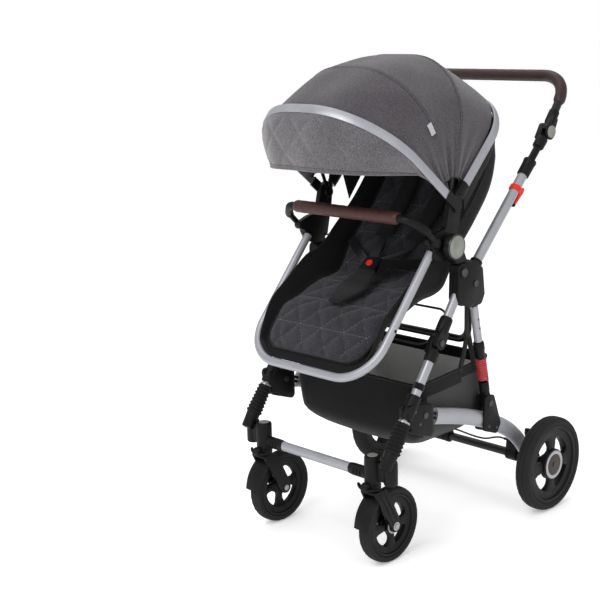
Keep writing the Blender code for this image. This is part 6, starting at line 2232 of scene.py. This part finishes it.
@dataclass
class Basket:
    """Soft shopping basket with net panels, bound rim, elastic loops and webbing straps."""

    half: float = 0.205
    front: float = -0.43
    back: float = -0.145
    low: float = 0.252
    top_front: float = 0.41
    top_back: float = 0.428

    def build(self) -> None:
        """Make the bag, its loops and its straps."""
        self.bag()
        self.loops()
        self.straps()

    def rim_height(self, y: float) -> float:
        """Height of the bag's rim, which rises towards the back."""
        return self.top_front + (self.top_back - self.top_front) * ((y - self.front) / (self.back - self.front))

    def ring(self, inset: float, drop: float, sag: float, shrink: float = 0.0) -> list[Vector]:
        """One level of the bag, a rounded oblong that narrows downwards.

        Args:
            inset: distance inside the outer face.
            drop: share of the way down.
            sag: sag of the middle.
            shrink: share taken off its width.

        Returns:
            Points round the level.
        """
        soft = drop * 0.008 + 0.034 * max(0.0, drop * 4 - 3) ** 2
        x = (self.half - inset - soft) * (1 - shrink)
        middle = (self.front + self.back) / 2
        front = middle + (self.front + inset + soft - middle) * (1 - shrink)
        back = middle + (self.back - inset - soft - middle) * (1 - shrink)
        path = [Vector((x, front, 0)), Vector((x, back, 0)), Vector((-x, back, 0)), Vector((-x, front, 0))]
        made = []
        for i in range(4):
            a, b = path[i], path[(i + 1) % 4]
            made += bend(path[i - 1], a, b, max((0.032 - inset) * (1 - shrink), 0.0005), 5)
            inner_a, inner_b = made[-1], b + (a - b).normalized() * (made[-1] - a).length
            count = 11 if i % 2 else 9
            made += [inner_a.lerp(inner_b, (k + 1) / (count + 1)) for k in range(count)]
        ring = []
        for n, p in enumerate(made):
            top = self.rim_height(p.y)
            slack = math.sin(math.pi * drop) * (0.006 + 0.0034 * math.sin(n * 0.9 + drop * 4))
            out = Vector((p.x / self.half, (p.y - middle) / abs(self.back - middle), 0))
            z = top + (self.low - top) * drop
            place = spot(p.x, p.y, z) + out * slack * (0.4 if shrink == 0 else 0)
            place.z -= sag * (1 - (p.x / self.half) ** 2) * (1 - ((p.y - middle) / (self.back - middle)) ** 2)
            place.z -= 0.012 * drop * drop * (1 - (p.x / self.half) ** 2)
            ring.append(place)
        return ring

    def bag(self) -> None:
        """Walls and a sagging floor: cloth in front, dark net at the sides, pale net behind."""
        drops = [i / 14 for i in range(15)]
        shrinks = [0.97, 0.75, 0.5, 0.3, 0.15, 0.06]
        outer = [self.ring(0, 1, 0.006, s) for s in shrinks] + [self.ring(0, d, 0) for d in reversed(drops)]
        inner = [self.ring(0.002, d, 0) for d in drops[:-1]]
        for s in (0.0, *reversed(shrinks)):
            inner.append([p + Vector((0, 0, 0.0022)) for p in self.ring(0.002, 1, 0.006, s)])
        draft = Draft()
        draft.skin(outer + inner)
        for face in draft.bm.faces:
            place = face.calc_center_median()
            y = place.y - AXLE_Y
            if place.z > self.rim_height(y) - 0.03 or place.z < self.low + 0.014:
                face.material_index = 1
            elif y > self.back - 0.03:
                face.material_index = 3
            elif y < self.front + 0.03:
                face.material_index = 0
            else:
                face.material_index = 2
        rim = self.ring(0.001, 0, 0)
        draft.tube(rim, 0.0034, 12, 1, closed=True)
        made = draft.make("basket_bag", "front_legs", [Look.BASKET, Look.PIPING, Look.NET_DARK, Look.NET_PALE],
            ["basket"], 60)

    def loops(self) -> None:
        """Elastic loops that hold the rim to the front legs."""
        draft = Draft()
        draft.lathe(at(SIDE_X, LINES.leg_top), in3(LINES.leg), mm((261.5, 11.4), (261.5, 13), (262.5, 13.6),
            (275.5, 13.6), (276.5, 13), (276.5, 11.4)), 32, closed=True)
        y, z = along(LINES.leg_top, LINES.leg, 0.269)
        run = flowing([at(SIDE_X - 0.01, (y, z)), at(SIDE_X - 0.017, (y + 0.012, z - 0.004)),
            at(self.half - 0.001, (self.front + 0.024, z - 0.016))], 5)
        draft.band(run, 0.0016, 0.013, Vector((0, -0.4, 0.9)))
        draft.mirror()
        draft.make("basket_loops", "front_legs", [Look.WEBBING])

    def straps(self) -> None:
        """Webbing from the crossbar's uprights down to the basket's rim."""
        draft = Draft()
        top = spot(0.2052, -0.243, 0.5)
        for y in (-0.215, -0.275):
            low = spot(self.half + 0.0005, y, 0.412)
            draft.band(flowing([top + Vector((-0.0005, (y + 0.243) * 0.1, 0)), (top + low) / 2, low], 5), 0.0016,
                0.018, Y_AXIS)
        draft.mirror()
        made = draft.make("basket_straps", None, [Look.WEBBING])
        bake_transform(made)


# Studio

@dataclass
class Studio:
    """Pale floor, soft lights and the camera of the picture."""

    azimuth: float = 45.299
    elevation: float = 12.907
    roll: float = -1.387
    lens: float = 73.6

    def build(self) -> None:
        """Set the floor, the world, the lights and the camera."""
        self.floor()
        self.world()
        self.light("key", (0.4, -3.0, 3.2), 2.0, 74)
        self.light("fill", (3.4, -0.6, 2.2), 2.2, 14)
        self.light("top", (-1.0, 0.8, 3.6), 2.4, 30)
        self.camera()
        bpy.context.scene.view_settings.view_transform = "Standard"

    def floor(self) -> None:
        """Wide matt floor."""
        bm = bmesh.new()
        bmesh.ops.create_circle(bm, cap_ends=True, segments=96, radius=60)
        mesh = bpy.data.meshes.new("studio_floor")
        bm.to_mesh(mesh)
        bm.free()
        nodes = Nodes("studio_floor_paint", (0.97, 0.97, 0.97), {"Roughness": 0.9, "Emission Strength": 0.3})
        nodes.rough(nodes.noise(3, 2), 0.86, 0.94)
        nodes.shader.inputs["Emission Color"].default_value = (1, 1, 1, 1)
        mesh.materials.append(nodes.material)
        floor = bpy.data.objects.new("studio_floor", mesh)
        bpy.context.scene.collection.objects.link(floor)

    def world(self) -> None:
        """White to the camera, a soft grey sky to the model."""
        world = bpy.data.worlds.new("studio_air")
        bpy.context.scene.world = world
        world.use_nodes = True
        tree = world.node_tree
        sky = tree.nodes["Background"]
        sky.inputs["Color"].default_value = (1, 1, 1, 1)
        sky.inputs["Strength"].default_value = 0.72
        seen = tree.nodes.new("ShaderNodeBackground")
        seen.inputs["Color"].default_value = (1, 1, 1, 1)
        seen.inputs["Strength"].default_value = 1.0
        rays = tree.nodes.new("ShaderNodeLightPath")
        mix = tree.nodes.new("ShaderNodeMixShader")
        tree.links.new(rays.outputs["Is Camera Ray"], mix.inputs["Fac"])
        tree.links.new(sky.outputs[0], mix.inputs[1])
        tree.links.new(seen.outputs[0], mix.inputs[2])
        tree.links.new(mix.outputs[0], tree.nodes["World Output"].inputs["Surface"])

    def light(self, name: str, place: Sequence[float], size: float, power: float) -> None:
        """One square softbox aimed at the middle of the pram.

        Args:
            name: the light's name.
            place: where it stands.
            size: its side.
            power: its power in watts.
        """
        data = bpy.data.lights.new(f"studio_{name}", "AREA")
        data.size = size
        data.energy = power
        lamp = bpy.data.objects.new(f"studio_{name}", data)
        lamp.location = place
        lamp.rotation_euler = (Vector((0, 0, 0.55)) - Vector(place)).to_track_quat("-Z", "Y").to_euler()
        bpy.context.scene.collection.objects.link(lamp)

    def camera(self) -> None:
        """The camera that the picture was taken with."""
        data = bpy.data.cameras.new("picture_camera")
        data.lens = self.lens
        data.sensor_width = 36
        camera = bpy.data.objects.new("picture_camera", data)
        a, e, r = (math.radians(v) for v in (self.azimuth, self.elevation, self.roll))
        ahead = Vector((-math.sin(a) * math.cos(e), math.cos(a) * math.cos(e), -math.sin(e)))
        right = Vector((math.cos(a), math.sin(a), 0))
        up = right.cross(ahead)
        x = right * math.cos(r) + up * math.sin(r)
        y = up * math.cos(r) - right * math.sin(r)
        place = Vector((1.9583, -2.31256, 1.2514))
        rows = [(x[i], y[i], -ahead[i], place[i]) for i in range(3)]
        camera.matrix_world = Matrix([*rows, (0, 0, 0, 1)])
        bpy.context.scene.collection.objects.link(camera)
        bpy.context.scene.camera = camera


def main() -> None:
    """Dress the whole pram and set up its studio."""
    logging.basicConfig(level=logging.INFO, format="%(message)s")
    for part in (Casters(), Chassis(), UpperFrame(), Shocks(), Handle(), Seat(), Canopy(), Basket(), Studio()):
        part.build()
        LOG.info("%s built", type(part).__name__)


if __name__ == "__main__":
    main()
